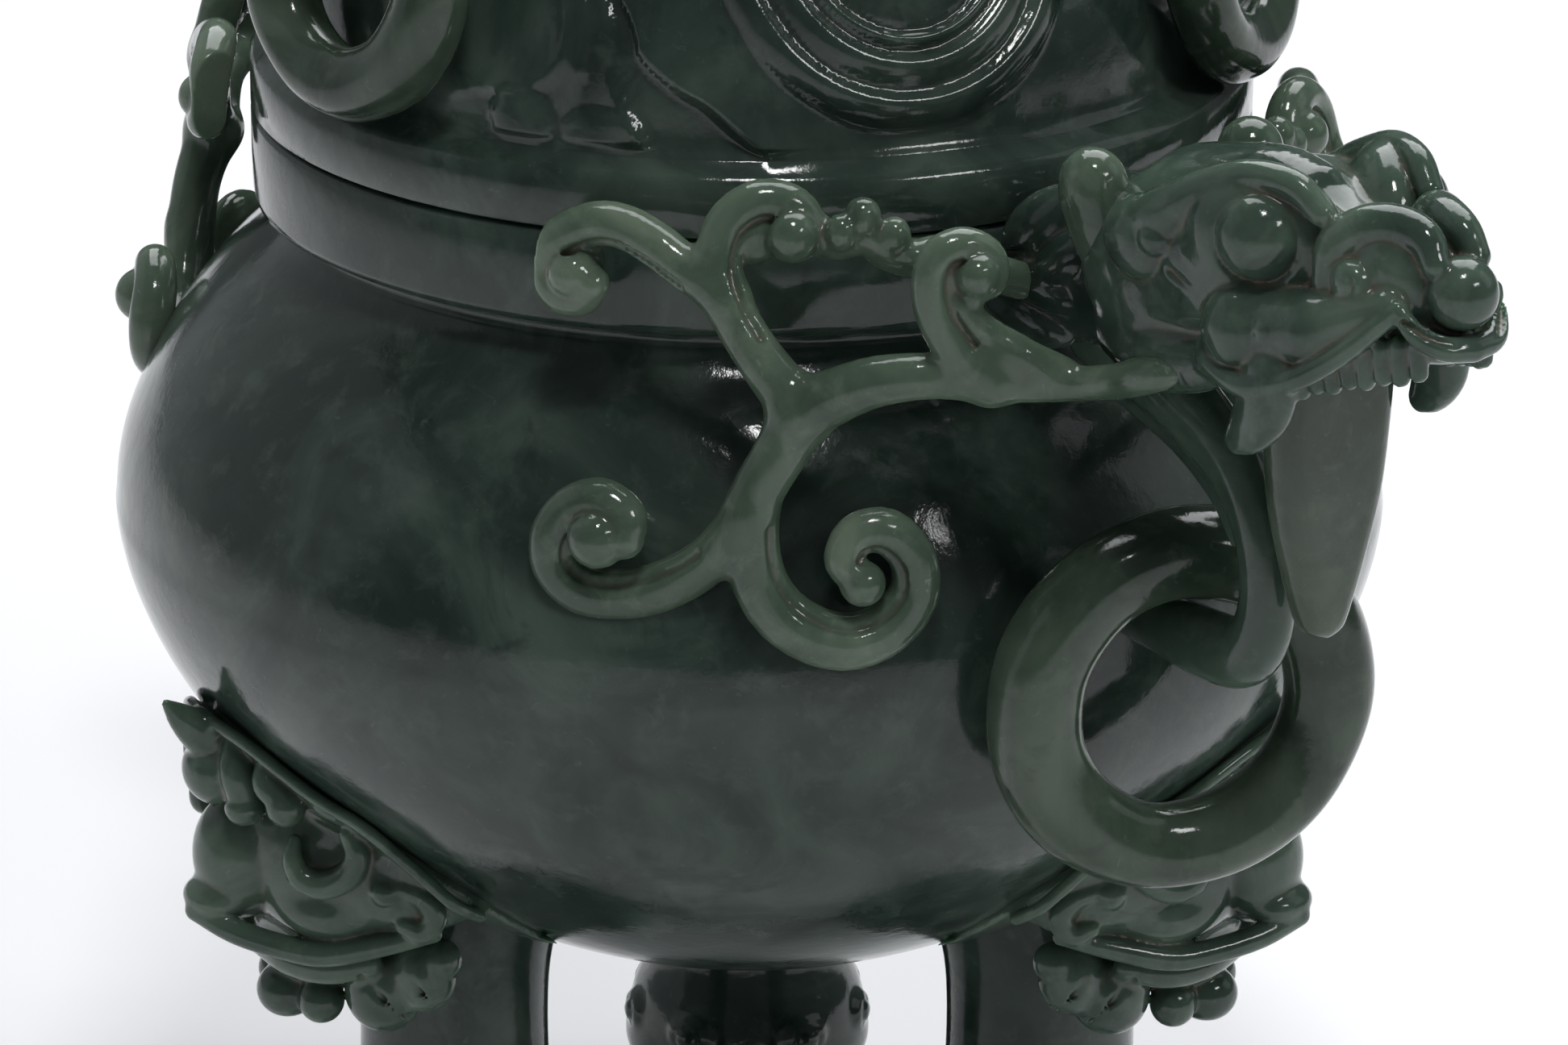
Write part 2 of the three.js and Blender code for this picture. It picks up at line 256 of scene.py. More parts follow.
class Edges:
    """The edges of a mesh of four-sided faces, from start to stop."""

    def __init__(self, faces, count):
        self.count = count
        self.start = faces.ravel()
        self.stop = np.roll(faces, -1, axis=1).ravel()
        degree = np.bincount(self.start, minlength=count) + np.bincount(self.stop, minlength=count)
        self.degree = np.maximum(degree, 1)

    def mean(self, values):
        """The mean of each point's neighbours, for one value or a row of values at each point."""
        if values.ndim > 1:
            return np.stack([self.mean(column) for column in values.T], axis=1)
        total = np.bincount(self.start, values[self.stop], minlength=self.count)
        total += np.bincount(self.stop, values[self.start], minlength=self.count)
        return total / self.degree


def crevices(points, faces, reach):
    """How deep in a groove each vertex lies: concave curvature, spread over a reach in mm."""
    edges = Edges(faces, len(points))
    corner = points[faces]
    crosses = np.cross(corner[:, 2] - corner[:, 0], corner[:, 3] - corner[:, 1])
    normals = np.zeros_like(points)
    for i in range(3):
        for j in range(4):
            normals[:, i] += np.bincount(faces[:, j], crosses[:, i], minlength=len(points))
    normals /= np.maximum(np.linalg.norm(normals, axis=1, keepdims=True), 1e-12)
    spacing = np.mean(np.linalg.norm(points[edges.start] - points[edges.stop], axis=1))
    bend = np.einsum("ij,ij->i", edges.mean(points) - points, normals) / spacing**2
    bend = np.clip(bend, -0.5, 1.5)
    for _ in range(max(2, round((reach / spacing) ** 2))):
        bend = edges.mean(bend)
    return bend


def polish(points, faces, rounds):
    """Evens out the skin without shrinking it."""
    edges = Edges(faces, len(points))
    for _ in range(rounds):
        for weight in (0.5, -0.52):
            points = points + weight * (edges.mean(points) - points)
    return points


def mesh_piece(name, points, faces, body, stone, solid, bend=None):
    """A smooth piece of points in mm and four-sided faces, riding a body in place of a CAD solid."""
    slot, material = stone
    mesh = bpy.data.meshes.new(name)
    mesh.vertices.add(len(points))
    mesh.vertices.foreach_set("co", (np.asarray(points) * MM).astype(np.float32).ravel())
    mesh.loops.add(faces.size)
    mesh.loops.foreach_set("vertex_index", faces.astype(np.int32).ravel())
    mesh.polygons.add(len(faces))
    mesh.polygons.foreach_set("loop_start", np.arange(0, faces.size, 4, dtype=np.int32))
    mesh.update(calc_edges=True)
    mesh.polygons.foreach_set("use_smooth", np.ones(len(faces), bool))
    groove = mesh.attributes.new("groove", "FLOAT", "POINT")
    bend = np.zeros(len(points)) if bend is None else bend
    groove.data.foreach_set("value", bend.astype(np.float32))
    mesh.materials.append(material)
    piece = bpy.data.objects.new(name, mesh)
    bpy.context.scene.collection.objects.link(piece)
    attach(piece, body)
    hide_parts(solid)


def turned_points(points, bearing, mirrored=False):
    """Points in the belly frame, turned about the axis to a bearing and raised to stand on the table."""
    out = np.array(points, float)
    if mirrored:
        out[:, 1] *= -1
    c, s = math.cos(math.radians(bearing)), math.sin(math.radians(bearing))
    x, y = out[:, 0] * c - out[:, 1] * s, out[:, 0] * s + out[:, 1] * c
    return np.stack([x, y, out[:, 2] + BELLY], axis=1)


class Carving:
    """A finished sculpt that can be set at several bearings."""

    def __init__(self, clay, rounds=2, groove_reach=0.8):
        points, self.faces = clay.surface()
        self.points = polish(points, self.faces, rounds)
        self.bend = crevices(self.points, self.faces, groove_reach)

    def place(self, name, body, stone, solid, bearing, mirrored=False):
        points = turned_points(self.points, bearing, mirrored)
        points[:, 2] = np.maximum(points[:, 2], 0)  # Nothing sinks into the table.
        faces = self.faces[:, ::-1] if mirrored else self.faces
        mesh_piece(name, points, faces, body, stone, solid, self.bend)


def wrapped_quads(rows, columns):
    """The faces of a grid of points whose rows and whose columns close on themselves."""
    i, j = np.arange(rows)[:, None], np.arange(columns)[None, :]
    here, after, following = i * columns, (i + 1) % rows * columns, (j + 1) % columns
    corners = [here + j, here + following, after + following, after + j]
    return np.stack(corners, axis=2).reshape(-1, 4)


def lathe(profile, segments):
    """(points, faces) of a closed ring-shaped or axis-to-axis profile of (radius, height) in mm."""
    profile = np.array(profile, float)
    angles = np.arange(segments) * (2 * math.pi / segments)
    radius, height = profile[:, 0][:, None], profile[:, 1][:, None]
    x, y = radius * np.cos(angles), radius * np.sin(angles)
    points = np.stack([x, y, np.broadcast_to(height, x.shape)], axis=2).reshape(-1, 3)
    return points, wrapped_quads(len(profile), segments)


def polar(turn, reach, height, centre=0):
    """A point at an angle and a distance from a vertical line that stands at (centre, 0)."""
    a = math.radians(turn)
    return centre + reach * math.cos(a), reach * math.sin(a), height


# Materials.


def fill(made, inputs):
    """Joins each named input of a node to a socket, or sets it to a value."""
    for name, value in inputs.items():
        if isinstance(value, bpy.types.NodeSocket):
            made.id_data.links.new(value, made.inputs[name])
        else:
            made.inputs[name].default_value = value


def node(tree, kind, inputs, **settings):
    """A new shader node."""
    made = tree.nodes.new(kind)
    for key, value in settings.items():
        setattr(made, key, value)
    fill(made, inputs)
    return made


# The scale of the largest clouds of colour.
CLOUDS = 38


def jade(name, deep, mid, pale, seed=0):
    """Polished nephrite: cloudy depths, pale flecks, brown polish left in the grooves."""
    material = bpy.data.materials.new(name)
    material.use_nodes = True
    tree = material.node_tree
    where = node(tree, "ShaderNodeTexCoord", {}).outputs["Object"]
    offset = (seed, seed * 0.7, seed * 0.3)
    shift = node(tree, "ShaderNodeMapping", {"Location": offset, "Vector": where})

    def noise(scale, detail, roughness, distortion=0):
        inputs = {"Scale": scale, "Detail": detail, "Roughness": roughness, "Distortion": distortion}
        inputs["Vector"] = shift.outputs["Vector"]
        return node(tree, "ShaderNodeTexNoise", inputs).outputs["Fac"]

    def ramp(source, first, middle, last):
        made = node(tree, "ShaderNodeValToRGB", {"Fac": source})
        stops = made.color_ramp.elements
        stops[0].position, stops[0].color = first[0], (*first[1], 1)
        stops[1].position, stops[1].color = last[0], (*last[1], 1)
        stops.new(middle[0]).color = (*middle[1], 1)
        return made.outputs["Color"]

    def mix(share, body, colour):
        made = node(tree, "ShaderNodeMix", {"Factor": share}, data_type="RGBA")
        under, over = [socket for socket in made.inputs if socket.type == "RGBA"]
        tree.links.new(body, under)
        over.default_value = (*colour, 1)
        return [socket for socket in made.outputs if socket.type == "RGBA"][0]

    def span(source, low, high, out_low=0, out_high=1):
        inputs = {"Value": source, "From Min": low, "From Max": high}
        inputs.update({"To Min": out_low, "To Max": out_high})
        return node(tree, "ShaderNodeMapRange", inputs).outputs["Result"]

    def math_node(operation, first, second):
        return node(tree, "ShaderNodeMath", {0: first, 1: second}, operation=operation).outputs[0]

    body = ramp(noise(CLOUDS, 5, 0.55, 1.1), (0.36, deep), (0.52, mid), (0.72, pale))
    mottle = span(noise(CLOUDS * 4.5, 6, 0.62, 0.4), 0.52, 0.72)
    body = mix(span(mottle, 0, 1, 0, 0.55), body, pale)
    flecks = span(noise(CLOUDS * 17, 5, 0.62, 1.2), 0.64, 0.78, 0, 0.3)
    body = mix(flecks, body, tuple(min(1, c * 2.1) for c in pale))
    dark = span(noise(CLOUDS * 2.2, 5, 0.6, 0.8), 0.6, 0.74, 0, 0.6)
    body = mix(dark, body, tuple(c * 0.6 for c in deep))
    groove = node(tree, "ShaderNodeAttribute", {}, attribute_name="groove", attribute_type="GEOMETRY")
    stain = span(groove.outputs["Fac"], 0.05, 0.42)
    speckle = math_node("MULTIPLY", stain, span(noise(900, 4, 0.7), 0.35, 0.6, 0.25, 1))
    body = mix(speckle, body, (0.12, 0.1, 0.07))
    rough = math_node(
        "ADD", span(noise(260, 4, 0.6), 0.35, 0.7, 0.07, 0.13), span(speckle, 0, 1, 0, 0.25)
    )
    bump = {"Strength": 0.42, "Distance": 0.0002, "Height": noise(230, 5, 0.64)}
    fill(tree.nodes["Principled BSDF"], {
        "Base Color": body,
        "Roughness": rough,
        "IOR": 1.61,
        "Specular IOR Level": 0.32,
        "Subsurface Weight": 0.45,
        "Subsurface Radius": (0.5, 1, 0.6),
        "Subsurface Scale": 0.004,
        "Normal": node(tree, "ShaderNodeBump", bump).outputs["Normal"],
    })
    return material


# A stone is a name and its material, whose colours are deep, middle and pale.
DARK = "dark_jade", jade(
    "dark_jade", (0.015, 0.027, 0.021), (0.03, 0.049, 0.039), (0.066, 0.094, 0.075)
)
GREEN = "dark_jade", jade(
    "carved_jade", (0.034, 0.056, 0.043), (0.056, 0.088, 0.066), (0.102, 0.144, 0.108), seed=0.4
)
PALE = "pale_jade", jade(
    "pale_jade", (0.05, 0.078, 0.054), (0.084, 0.12, 0.086), (0.15, 0.192, 0.14), seed=0.8
)
TONGUE = "pale_jade", jade(
    "tongue_jade", (0.04, 0.058, 0.04), (0.062, 0.086, 0.062), (0.1, 0.13, 0.095), seed=1.9
)
RING = "ring_jade", jade(
    "ring_jade", (0.018, 0.034, 0.022), (0.04, 0.062, 0.042), (0.08, 0.11, 0.08), seed=1.3
)


# The bowl.


def belly_lower(count):
    """The bowl's outline from its foot to its widest level."""
    angles = np.linspace(0.03, math.pi / 2, count)
    radius = BELLY_RADIUS * np.sin(angles) ** (2 / BELLY_EXPONENT)
    height = -BELLY_DEPTH * np.cos(angles) ** (2 / BELLY_EXPONENT)
    return np.stack([radius, height], axis=1)


def belly_radius(height):
    """The bowl's outer radius at a height at or below its widest level."""
    share = np.clip(-np.asarray(height, float) / BELLY_DEPTH, 0, 1)
    angle = np.arccos(share ** (BELLY_EXPONENT / 2))
    return BELLY_RADIUS * np.sin(angle) ** (2 / BELLY_EXPONENT)


def make_bowl():
    shoulder = smooth_path(
        [(80, 0), (79.3, 6), (77.4, 12), (73, 20.5), (67, 28.5), (60.5, 34.4), (58.3, 37.2)], 40
    )
    collar = [
        (58.3, 38.4), (60.6, 39), (61.7, 39.6), (61.9, 40.6), (62, 45), (62, 50.1), (61.7, 50.6),
        (61.1, 50.8)
    ]
    mouth = [(54.9, 50.8), (54.2, 50.5), (54, 49.9), (54, 43), (53, 39), (51.5, 34)]
    inside = smooth_path([(51.5, 34), (65, 22), (73, 0), (66, -25), (46, -43), (20, -53), (0.6, -54.7)], 40)
    profile = np.concatenate([belly_lower(70), shoulder[1:], collar, mouth, inside[1:]])
    points, faces = lathe(profile, 240)
    points = turned_points(points, 0)
    mesh_piece("bowl_body", points, faces, "censer", DARK, "bowl")


# More shapes.


def facing(bearing):
    """Axes whose X points away from the bowl's axis at a bearing, and whose Z is up."""
    return Matrix.Rotation(math.radians(bearing), 4, "Z")


def plate(outline, middle, half, edge):
    """A flat piece of an (x, z) outline, as thick as half on both sides of middle, with round edges."""
    corners = np.array(outline, float)
    low = np.array([corners[:, 0].min(), middle - half, corners[:, 1].min()])
    high = np.array([corners[:, 0].max(), middle + half, corners[:, 1].max()])

    def distance(x, y, z):
        px, pz = x[:, 0, 0][:, None], z[0, 0, :][None, :]
        nearest = np.full(np.broadcast_shapes(px.shape, pz.shape), 1e9)
        inside = np.zeros(nearest.shape, bool)
        for i in range(len(corners)):
            (ax, az), (bx, bz) = corners[i], corners[i - 1]
            ex, ez = bx - ax, bz - az
            wx, wz = px - ax, pz - az
            t = np.clip((wx * ex + wz * ez) / (ex * ex + ez * ez), 0, 1)
            nearest = np.minimum(nearest, (wx - ex * t) ** 2 + (wz - ez * t) ** 2)
            crossing = (az > pz) != (bz > pz)
            inside ^= crossing & (px < (bx - ax) * (pz - az) / (bz - az + 1e-12) + ax)
        flat = np.sqrt(nearest) * np.where(inside, -1, 1)
        flat = flat[:, None, :] + edge
        side = np.abs(y - middle) - half + edge
        outside = np.hypot(np.maximum(flat, 0), np.maximum(side, 0))
        return np.minimum(np.maximum(flat, side), 0) + outside - edge

    return low, high, distance


def spun(profile, centre=(0, 0)):
    """A solid turned about a vertical line, from (radius, height) points, lowest first."""
    profile = np.array(profile, float)
    radii, heights = profile[:, 0], profile[:, 1]
    slope = np.gradient(radii, heights)
    reach = radii.max()
    low = np.array([centre[0] - reach, centre[1] - reach, heights[0]])
    high = np.array([centre[0] + reach, centre[1] + reach, heights[-1]])

    def distance(x, y, z):
        away = np.hypot(x - centre[0], y - centre[1])
        side = away - np.interp(z, heights, radii)
        side = side / np.sqrt(1 + np.interp(z, heights, slope) ** 2)
        return np.maximum(side, np.maximum(heights[0] - z, z - heights[-1]))

    return low, high, distance


def hoop(centre, normal, major, tube):
    """A round ring."""
    centre, normal = np.array(centre, float), np.array(Vector(normal).normalized())
    reach = (major + tube) * np.ones(3)

    def distance(x, y, z):
        d = (x - centre[0], y - centre[1], z - centre[2])
        off = sum(p * n for p, n in zip(d, normal))
        flat = np.sqrt(np.maximum(sum(p * p for p in d) - off * off, 0))
        return np.hypot(flat - major, off) - tube

    return centre - reach, centre + reach, distance


def incise(clay, knots, lean, width, count, share):
    """Cuts a fine line along a share of a vine, on its outer side, leaning over by an angle."""
    path = smooth_path(knots, count)
    path = path[int(share[0] * count) : max(int(share[1] * count), 2)]
    along = np.gradient(path[:, :3], axis=0)
    along /= np.linalg.norm(along, axis=1, keepdims=True)
    out = path[:, :3] * [1, 1, 0]
    out /= np.linalg.norm(out, axis=1, keepdims=True)
    side = np.cross(along, out)
    a = math.radians(lean)
    line = path[:, :3] + path[:, 3:4] * (math.cos(a) * out + math.sin(a) * side)
    clay.cut(strand(line, [width] * len(line)), 0.35)


# The dragon handles, sculpted in a frame where the handle points along +X.


def make_head():
    clay = Clay((78, -19, 37), (142, 0, 75), 0.325, mirrored=True)
    # Skull, cheeks and snout.
    clay.add(ball((98, 0, 55.4), (17.5, 11.8, 12.6)))
    clay.add(rod((91, 0, 60), (110, 0, 63), 5.6, 6), 3)
    clay.add(ball((92.8, -6.8, 54), (11.8, 7.6, 10)), 3)
    clay.add(ball((104, -7.4, 58.6), (11, 7.2, 8.8)), 3)
    clay.add(rod((108, 0, 58.5), (129, 0, 60.5), 9.8, 6.2, (1, 1, 0.88)), 4)
    # A low crest along the top of the skull.
    crest = [
        (84.5, 0, 58.6, 2.4), (91, 0, 63, 3), (98, 0, 65.6, 3.2), (105, 0, 67.2, 3), (111.5, 0, 67.6, 2.2)
    ]
    clay.add(vine(crest, 20, (1, 1.3, 1)), 0.8)
    # Eyes face outward and forward: a ring groove, a hollow inside it and a domed eyeball set high.
    gaze = facing(-59)
    clay.add(ball((112.6, -8.4, 63.2), (4.9, 9.2, 8.2), gaze), 1.2)
    clay.cut(ball((116.1, -13.3, 63.5), (3.5, 6, 6), gaze), 0.25)
    clay.add(ball((114.3, -10.6, 64.2), (4.3, 4.9, 4.9), gaze), 0.1)
    clay.cut(hoop((116.6, -14.2, 65.2), (0.51, -0.85, 0.12), 1.7, 0.2), 0.2)
    # Brows: a broad comma behind the eye that narrows as it sweeps over it.
    clay.add(ball((96.8, -12.8, 59.9), (5.6, 4, 4.9)), 0.3)
    brow = [
        (96.8, -12.4, 59.4, 3.4), (97.8, -12.4, 61.4, 3.6), (100.6, -12.6, 63.4, 3.4),
        (105.4, -11.6, 67, 2.6), (111.6, -10.2, 70.2, 1.9), (117.4, -8.6, 70.4, 1.7), (121, -7.6, 68, 1.5)
    ]
    clay.add(vine(brow, 34), 0.4)
    clay.add(ball((100.8, -14.1, 61.1), 2.3), 0.12)
    # Folds below the eye and along the cheek.
    fold_line = [
        (103.5, -14.4, 58, 0.4), (108.5, -14.6, 56.6, 0.6), (114.6, -13.2, 56.6, 0.7),
        (120, -10.8, 58.6, 0.8), (123, -8.6, 62.2, 0.9), (123.4, -7, 66.2, 0.8)
    ]
    clay.cut(vine(fold_line, 26), 0.4)
    clay.cut(vine([(96, -14.6, 50.4, 0.3), (102, -14.8, 51.4, 0.5), (108, -14.2, 54, 0.4)], 14), 0.4)
    # Nose: one broad arched roll with a curl at its wing and a lobe in front.
    clay.add(ball((127.8, -2.2, 63), (5.8, 5.2, 4.8)), 1.2)
    roll = [
        (122.8, -7.2, 61, 2.3), (123, -6.6, 64.6, 2.6), (125.4, -4.8, 67, 2.6), (129, -3.2, 67.8, 2.4),
        (132.6, -2.6, 67.2, 2), (134.6, -2.8, 65, 1.6)
    ]
    clay.add(vine(roll, 26), 0.6)
    clay.add(ball((126.6, -7.6, 61.8), (2.7, 2.1, 2.5)), 0.4)
    clay.cut(hoop((127, -9.7, 61.9), (0.4, -0.9, 0.1), 1.5, 0.35), 0.25)
    clay.cut(vine([(129.8, -8, 60.2, 0.5), (130.6, -7.4, 62.2, 0.5), (129.4, -7.4, 64.6, 0.4)], 12), 0.4)
    # The front lobe of the upper lip.
    clay.add(ball((135.8, 0, 61.6), (4, 4, 4.1)), 0.5)
    # Upper lip: a full soft cheek above a rolled edge that climbs to a peak.
    clay.add(rod((112.8, -10.4, 53.2), (122.5, -9, 55.6), 4.8, 4.3), 0.4)
    clay.add(rod((122.5, -9, 55.6), (131, -6.2, 59.6), 4.1, 2.3), 0.8)
    clay.add(ball((113.4, -11.4, 53.8), (5.2, 4.8, 4.9)), 0.9)
    clay.add(ball((118.8, -12.5, 55.1), 1.9), 0.12)
    lip = [
        (108.4, -13.2, 51, 0.8), (111.6, -14.2, 49.2, 1.3), (116.8, -13.8, 48.4, 1.5),
        (122.4, -12.4, 50.2, 1.4), (127.6, -10.2, 54, 1.3), (131.4, -7.8, 58.2, 1.2), (133.2, -6.6, 60.2, 1)
    ]
    clay.add(vine(lip, 34), 0.3)
    front = [(133.2, -6.6, 60.2, 1), (135.2, -5.6, 57.8, 1.2), (137.3, -3.4, 56.4, 1.4), (138, 0, 56, 1.5)]
    clay.add(vine(front, 18), 0.3)
    clay.cut(vine([
        (134.4, -6.8, 59.2, 0.4), (136.8, -4.9, 57.8, 0.5), (139.2, -2.4, 57.2, 0.5), (139.8, 0, 57.1, 0.5)
    ], 16), 0.25)
    clay.add(ball((132, 0, 55.6), (5.2, 5.6, 2.6)), 0.8)
    # The mouth is hollowed, with a continuous row of teeth under the lip and two fangs.
    clay.cut(rod((103, 0, 41.5), (131, 0, 51), 6, 4.4, (1, 1.25, 1)), 1)
    teeth = 10
    for i in range(teeth):
        t = i / (teeth - 1)
        x = 118.6 + 16.0 * t
        y = -11.3 + 6.6 * t**1.4
        top = 50.0 + 6.4 * t**0.8
        low = 46.6 + 6.2 * t**0.75 + 0.3 * (i % 2)
        clay.add(rod((x - 0.3, y, top), (x, y + 0.2, low), 1.2, 1.05), 0.35)
    fang = [
        (118.6, -12, 49.6, 4.3), (118.2, -12.4, 46.4, 4), (116.6, -12.8, 43.4, 3), (114.6, -13, 41.4, 1.8)
    ]
    clay.add(vine(fang, 18, (1, 0.6, 1)), 0.4)
    # Jaw behind the mouth corner, and the throat.
    clay.add(vine([
        (89, -9, 46, 3.4), (97, -10.8, 45.6, 3.6), (105, -11.4, 46.8, 3), (110, -11.8, 48.6, 2.2)
    ], 16), 2.2)
    return Carving(clay, groove_reach=0.5)


def make_neck():
    clay = Clay((49, -13, 33), (93, 0, 60), 0.4, mirrored=True)
    clay.add(vine([
        (50, 0, 44, 8.4), (62, 0, 45.2, 8.4), (74, 0, 47.4, 8.6), (90, 0, 50.6, 8.2)
    ], 18, (1, 0.95, 1.06)))
    # Leaves folded back over the neck.
    leaf = Matrix.Rotation(math.radians(-38), 4, "Y") @ Matrix.Rotation(math.radians(14), 4, "Z")
    clay.add(ball((69.6, -5.6, 52.6), (7.4, 3.4, 4.4), leaf), 0.5)
    clay.add(ball((75.6, -6.4, 50.8), (6.4, 2.8, 3.2), leaf), 0.4)
    low_leaf = Matrix.Rotation(math.radians(8), 4, "Y") @ Matrix.Rotation(math.radians(6), 4, "Z")
    clay.add(ball((70.5, -7.4, 46.6), (8.2, 2.4, 3), low_leaf), 0.4)
    clay.add(ball((67.5, -6.6, 41.6), (7.6, 2.4, 3), low_leaf), 0.5)
    clay.cut(vine([(64.4, -8.6, 48.4, 0.3), (70.4, -9.4, 50.6, 0.45), (77.4, -9.2, 53.8, 0.3)], 16), 0.4)
    clay.cut(vine([(63.4, -8.9, 47, 0.3), (70.4, -10, 47.4, 0.4), (78, -9, 48.6, 0.25)], 16), 0.4)
    clay.cut(vine([(62, -9, 42.6, 0.3), (68.4, -9.4, 42.2, 0.4), (75, -8.8, 43.6, 0.25)], 16), 0.4)
    clay.cut(vine([(78.8, -11, 42, 0.6), (80.6, -11.4, 50, 0.7), (81.4, -6, 58.5, 0.6)], 18), 0.7)
    # The neck ends inside the bowl's wall and leaves room for the lid above it.
    clay.cut(spun([(57, 20), (57, 70)]), 0.3)
    clay.cut(spun([(63, 50.4), (63, 70)]), 0.3)
    return Carving(clay, groove_reach=0.8)


def make_horn():
    clay = Clay((77, -18, 51), (94, -2, 69), 0.32)
    thumb = [(87, -8.6, 54.3, 4.4), (86, -10, 58.1, 4.4), (85.2, -11, 61.5, 4.2), (85, -11.2, 62.9, 4)]
    clay.add(vine(thumb, 14, (1, 0.95, 1)))
    clay.cut(rod((95.6, -17, 70.1), (96.2, -3, 55.1), 6.8, 6.8), 0.5)
    return Carving(clay)


def make_tongue():
    """The tongue hangs like a strap that faces outward, so it is drawn across and turned round."""
    clay = Clay((-10, -120, 12), (10, -108, 57), 0.32)
    edge = [(0, 15.2), (2.2, 16.4), (3.6, 19.6), (5.2, 24.6), (7.1, 32), (8, 40), (8.4, 48), (8.2, 54.6)]
    outline = smooth_path(edge, 40)
    outline = np.concatenate([outline, (outline * [-1, 1])[:0:-1]])
    clay.add(plate(outline, -114, 3.2, 2.9))
    return Carving(clay)


def make_hanger():
    clay = Clay((67, -7, 1), (111, 0, 47), 0.34, mirrored=True)
    strut = [
        (74, 0, 40.6, 5.4), (84, 0, 37.8, 4.6), (93, 0, 34, 4), (99.4, 0, 30, 3.7), (103.2, 0, 24.6, 3.5),
        (104.6, 0, 18.6, 3.4), (104, 0, 13, 3.7), (100.8, 0, 9.2, 4.1), (94.6, 0, 8, 4.2),
        (84, 0, 8.2, 3.8), (70, 0, 8.6, 3.6)
    ]
    clay.add(vine(strut, 60, (1, 0.88, 1)))
    # A keel under the strut and a groove along each flank.
    clay.add(vine([(78, 0, 33.6, 1.5), (88, 0, 30.8, 1.4), (95.4, 0, 27, 1.4), (99, 0, 22.4, 1)], 16), 2)
    clay.cut(vine([
        (82, -4.6, 38.4, 0.4), (90, -4.2, 35.8, 0.5), (98, -3.8, 31.2, 0.5), (102.2, -3.4, 25, 0.4)
    ], 20), 0.6)
    return Carving(clay)


BRANCH = [
    (104.6, -13.9, 46.2, 0.9), (102.4, -14.2, 45.6, 1.8), (99, -14.4, 44.5, 2.2), (95.5, -14.6, 43, 2.1),
    (91.6, -15.4, 41.8, 2), (88.4, -16.9, 41, 2), (85.4, -19.6, 40.7, 2.15), (82.7, -23.5, 40.9, 2.4),
    (79, -28.4, 41.4, 2.6), (75.1, -33, 40.6, 2.9), (71.3, -36.3, 38.4, 3.2), (67.7, -38.7, 35.7, 3.5)
]
UPPER_NEAR = [
    (67.7, -38.7, 36.2, 3.3), (64.8, -40.8, 39.9, 2.9), (61.6, -42.4, 44.1, 2.7), (59.4, -43.6, 48.4, 2.7),
    (57.8, -43.4, 52.2, 2.7), (57.8, -42.1, 56.2, 2.6), (59.2, -39.2, 58.6, 2.5), (61.1, -36.1, 58.2, 2.5),
    (62.2, -34.5, 55.9, 2.4), (62.6, -35.5, 54.1, 2.2)
]
UPPER_FAR = [
    (59.4, -43.4, 48.1, 2.5), (55.5, -45.7, 50.4, 2.5), (51.3, -47.5, 52.8, 2.6), (47, -49.3, 54.2, 2.6),
    (43.8, -51.4, 54, 2.6), (40.9, -53.8, 51.9, 2.6), (39.6, -54.5, 48.4, 2.5), (41.3, -54.3, 45.8, 2.4),
    (43.7, -53.1, 45.6, 2.3), (45.2, -52.5, 47.4, 2.2)
]
LOWER_NEAR = [
    (67.7, -38.7, 35.2, 3.4), (66.8, -41.5, 30.3, 3.1), (65.5, -43.3, 25.9, 3.1), (65.3, -43.8, 20.7, 3.2),
    (66, -42.9, 15.1, 3.3), (68.2, -40.2, 10.7, 3.4), (71.5, -36, 8.6, 3.4), (73.6, -31.5, 9.5, 3.2),
    (75, -28.1, 13.4, 3), (75, -28.1, 18.2, 2.8), (73.8, -30.9, 21.7, 2.7), (72.4, -34.1, 21.5, 2.5),
    (72.4, -35.9, 18.9, 2.3), (73.7, -34.7, 16.7, 2.2)
]
LOWER_FAR = [
    (65.1, -44.3, 23.7, 2.7), (61.6, -47, 17.9, 2.8), (57.9, -49.8, 14.4, 3), (54.3, -53.2, 12.5, 3.1),
    (50.7, -56.8, 12.6, 3.1), (48.2, -59, 15.1, 3), (47.8, -59.3, 18.8, 2.9), (49.4, -57.8, 22.3, 2.8),
    (52.6, -56, 24.1, 2.6), (55.5, -54.6, 22.6, 2.5), (56, -55.1, 20.2, 2.4)
]
UPPER_HEAD = [
    (83.4, -23.6, 41, 2.7), (81.4, -26.4, 44.4, 2.6), (80.2, -28.8, 48.6, 2.4), (79.8, -29.6, 52.6, 2.3),
    (80.1, -28.8, 55.8, 2.2), (81, -26.2, 56.9, 2.2), (81.9, -23.6, 55.5, 2.2), (82.8, -23.6, 53.2, 2.1),
    (82.6, -25.2, 52.4, 1.9)
]
TENDRIL = [
    (62.4, -35.2, 55.8, 2.2), (64.2, -32, 54.2, 2.3), (66.2, -29, 54.8, 2.3), (67.4, -26.4, 52.7, 2.3),
    (68.4, -22.6, 51.2, 2.3), (69, -18, 49.8, 2.3), (69.3, -13.6, 48.4, 2.3), (69.4, -9.4, 46.8, 2.2)
]


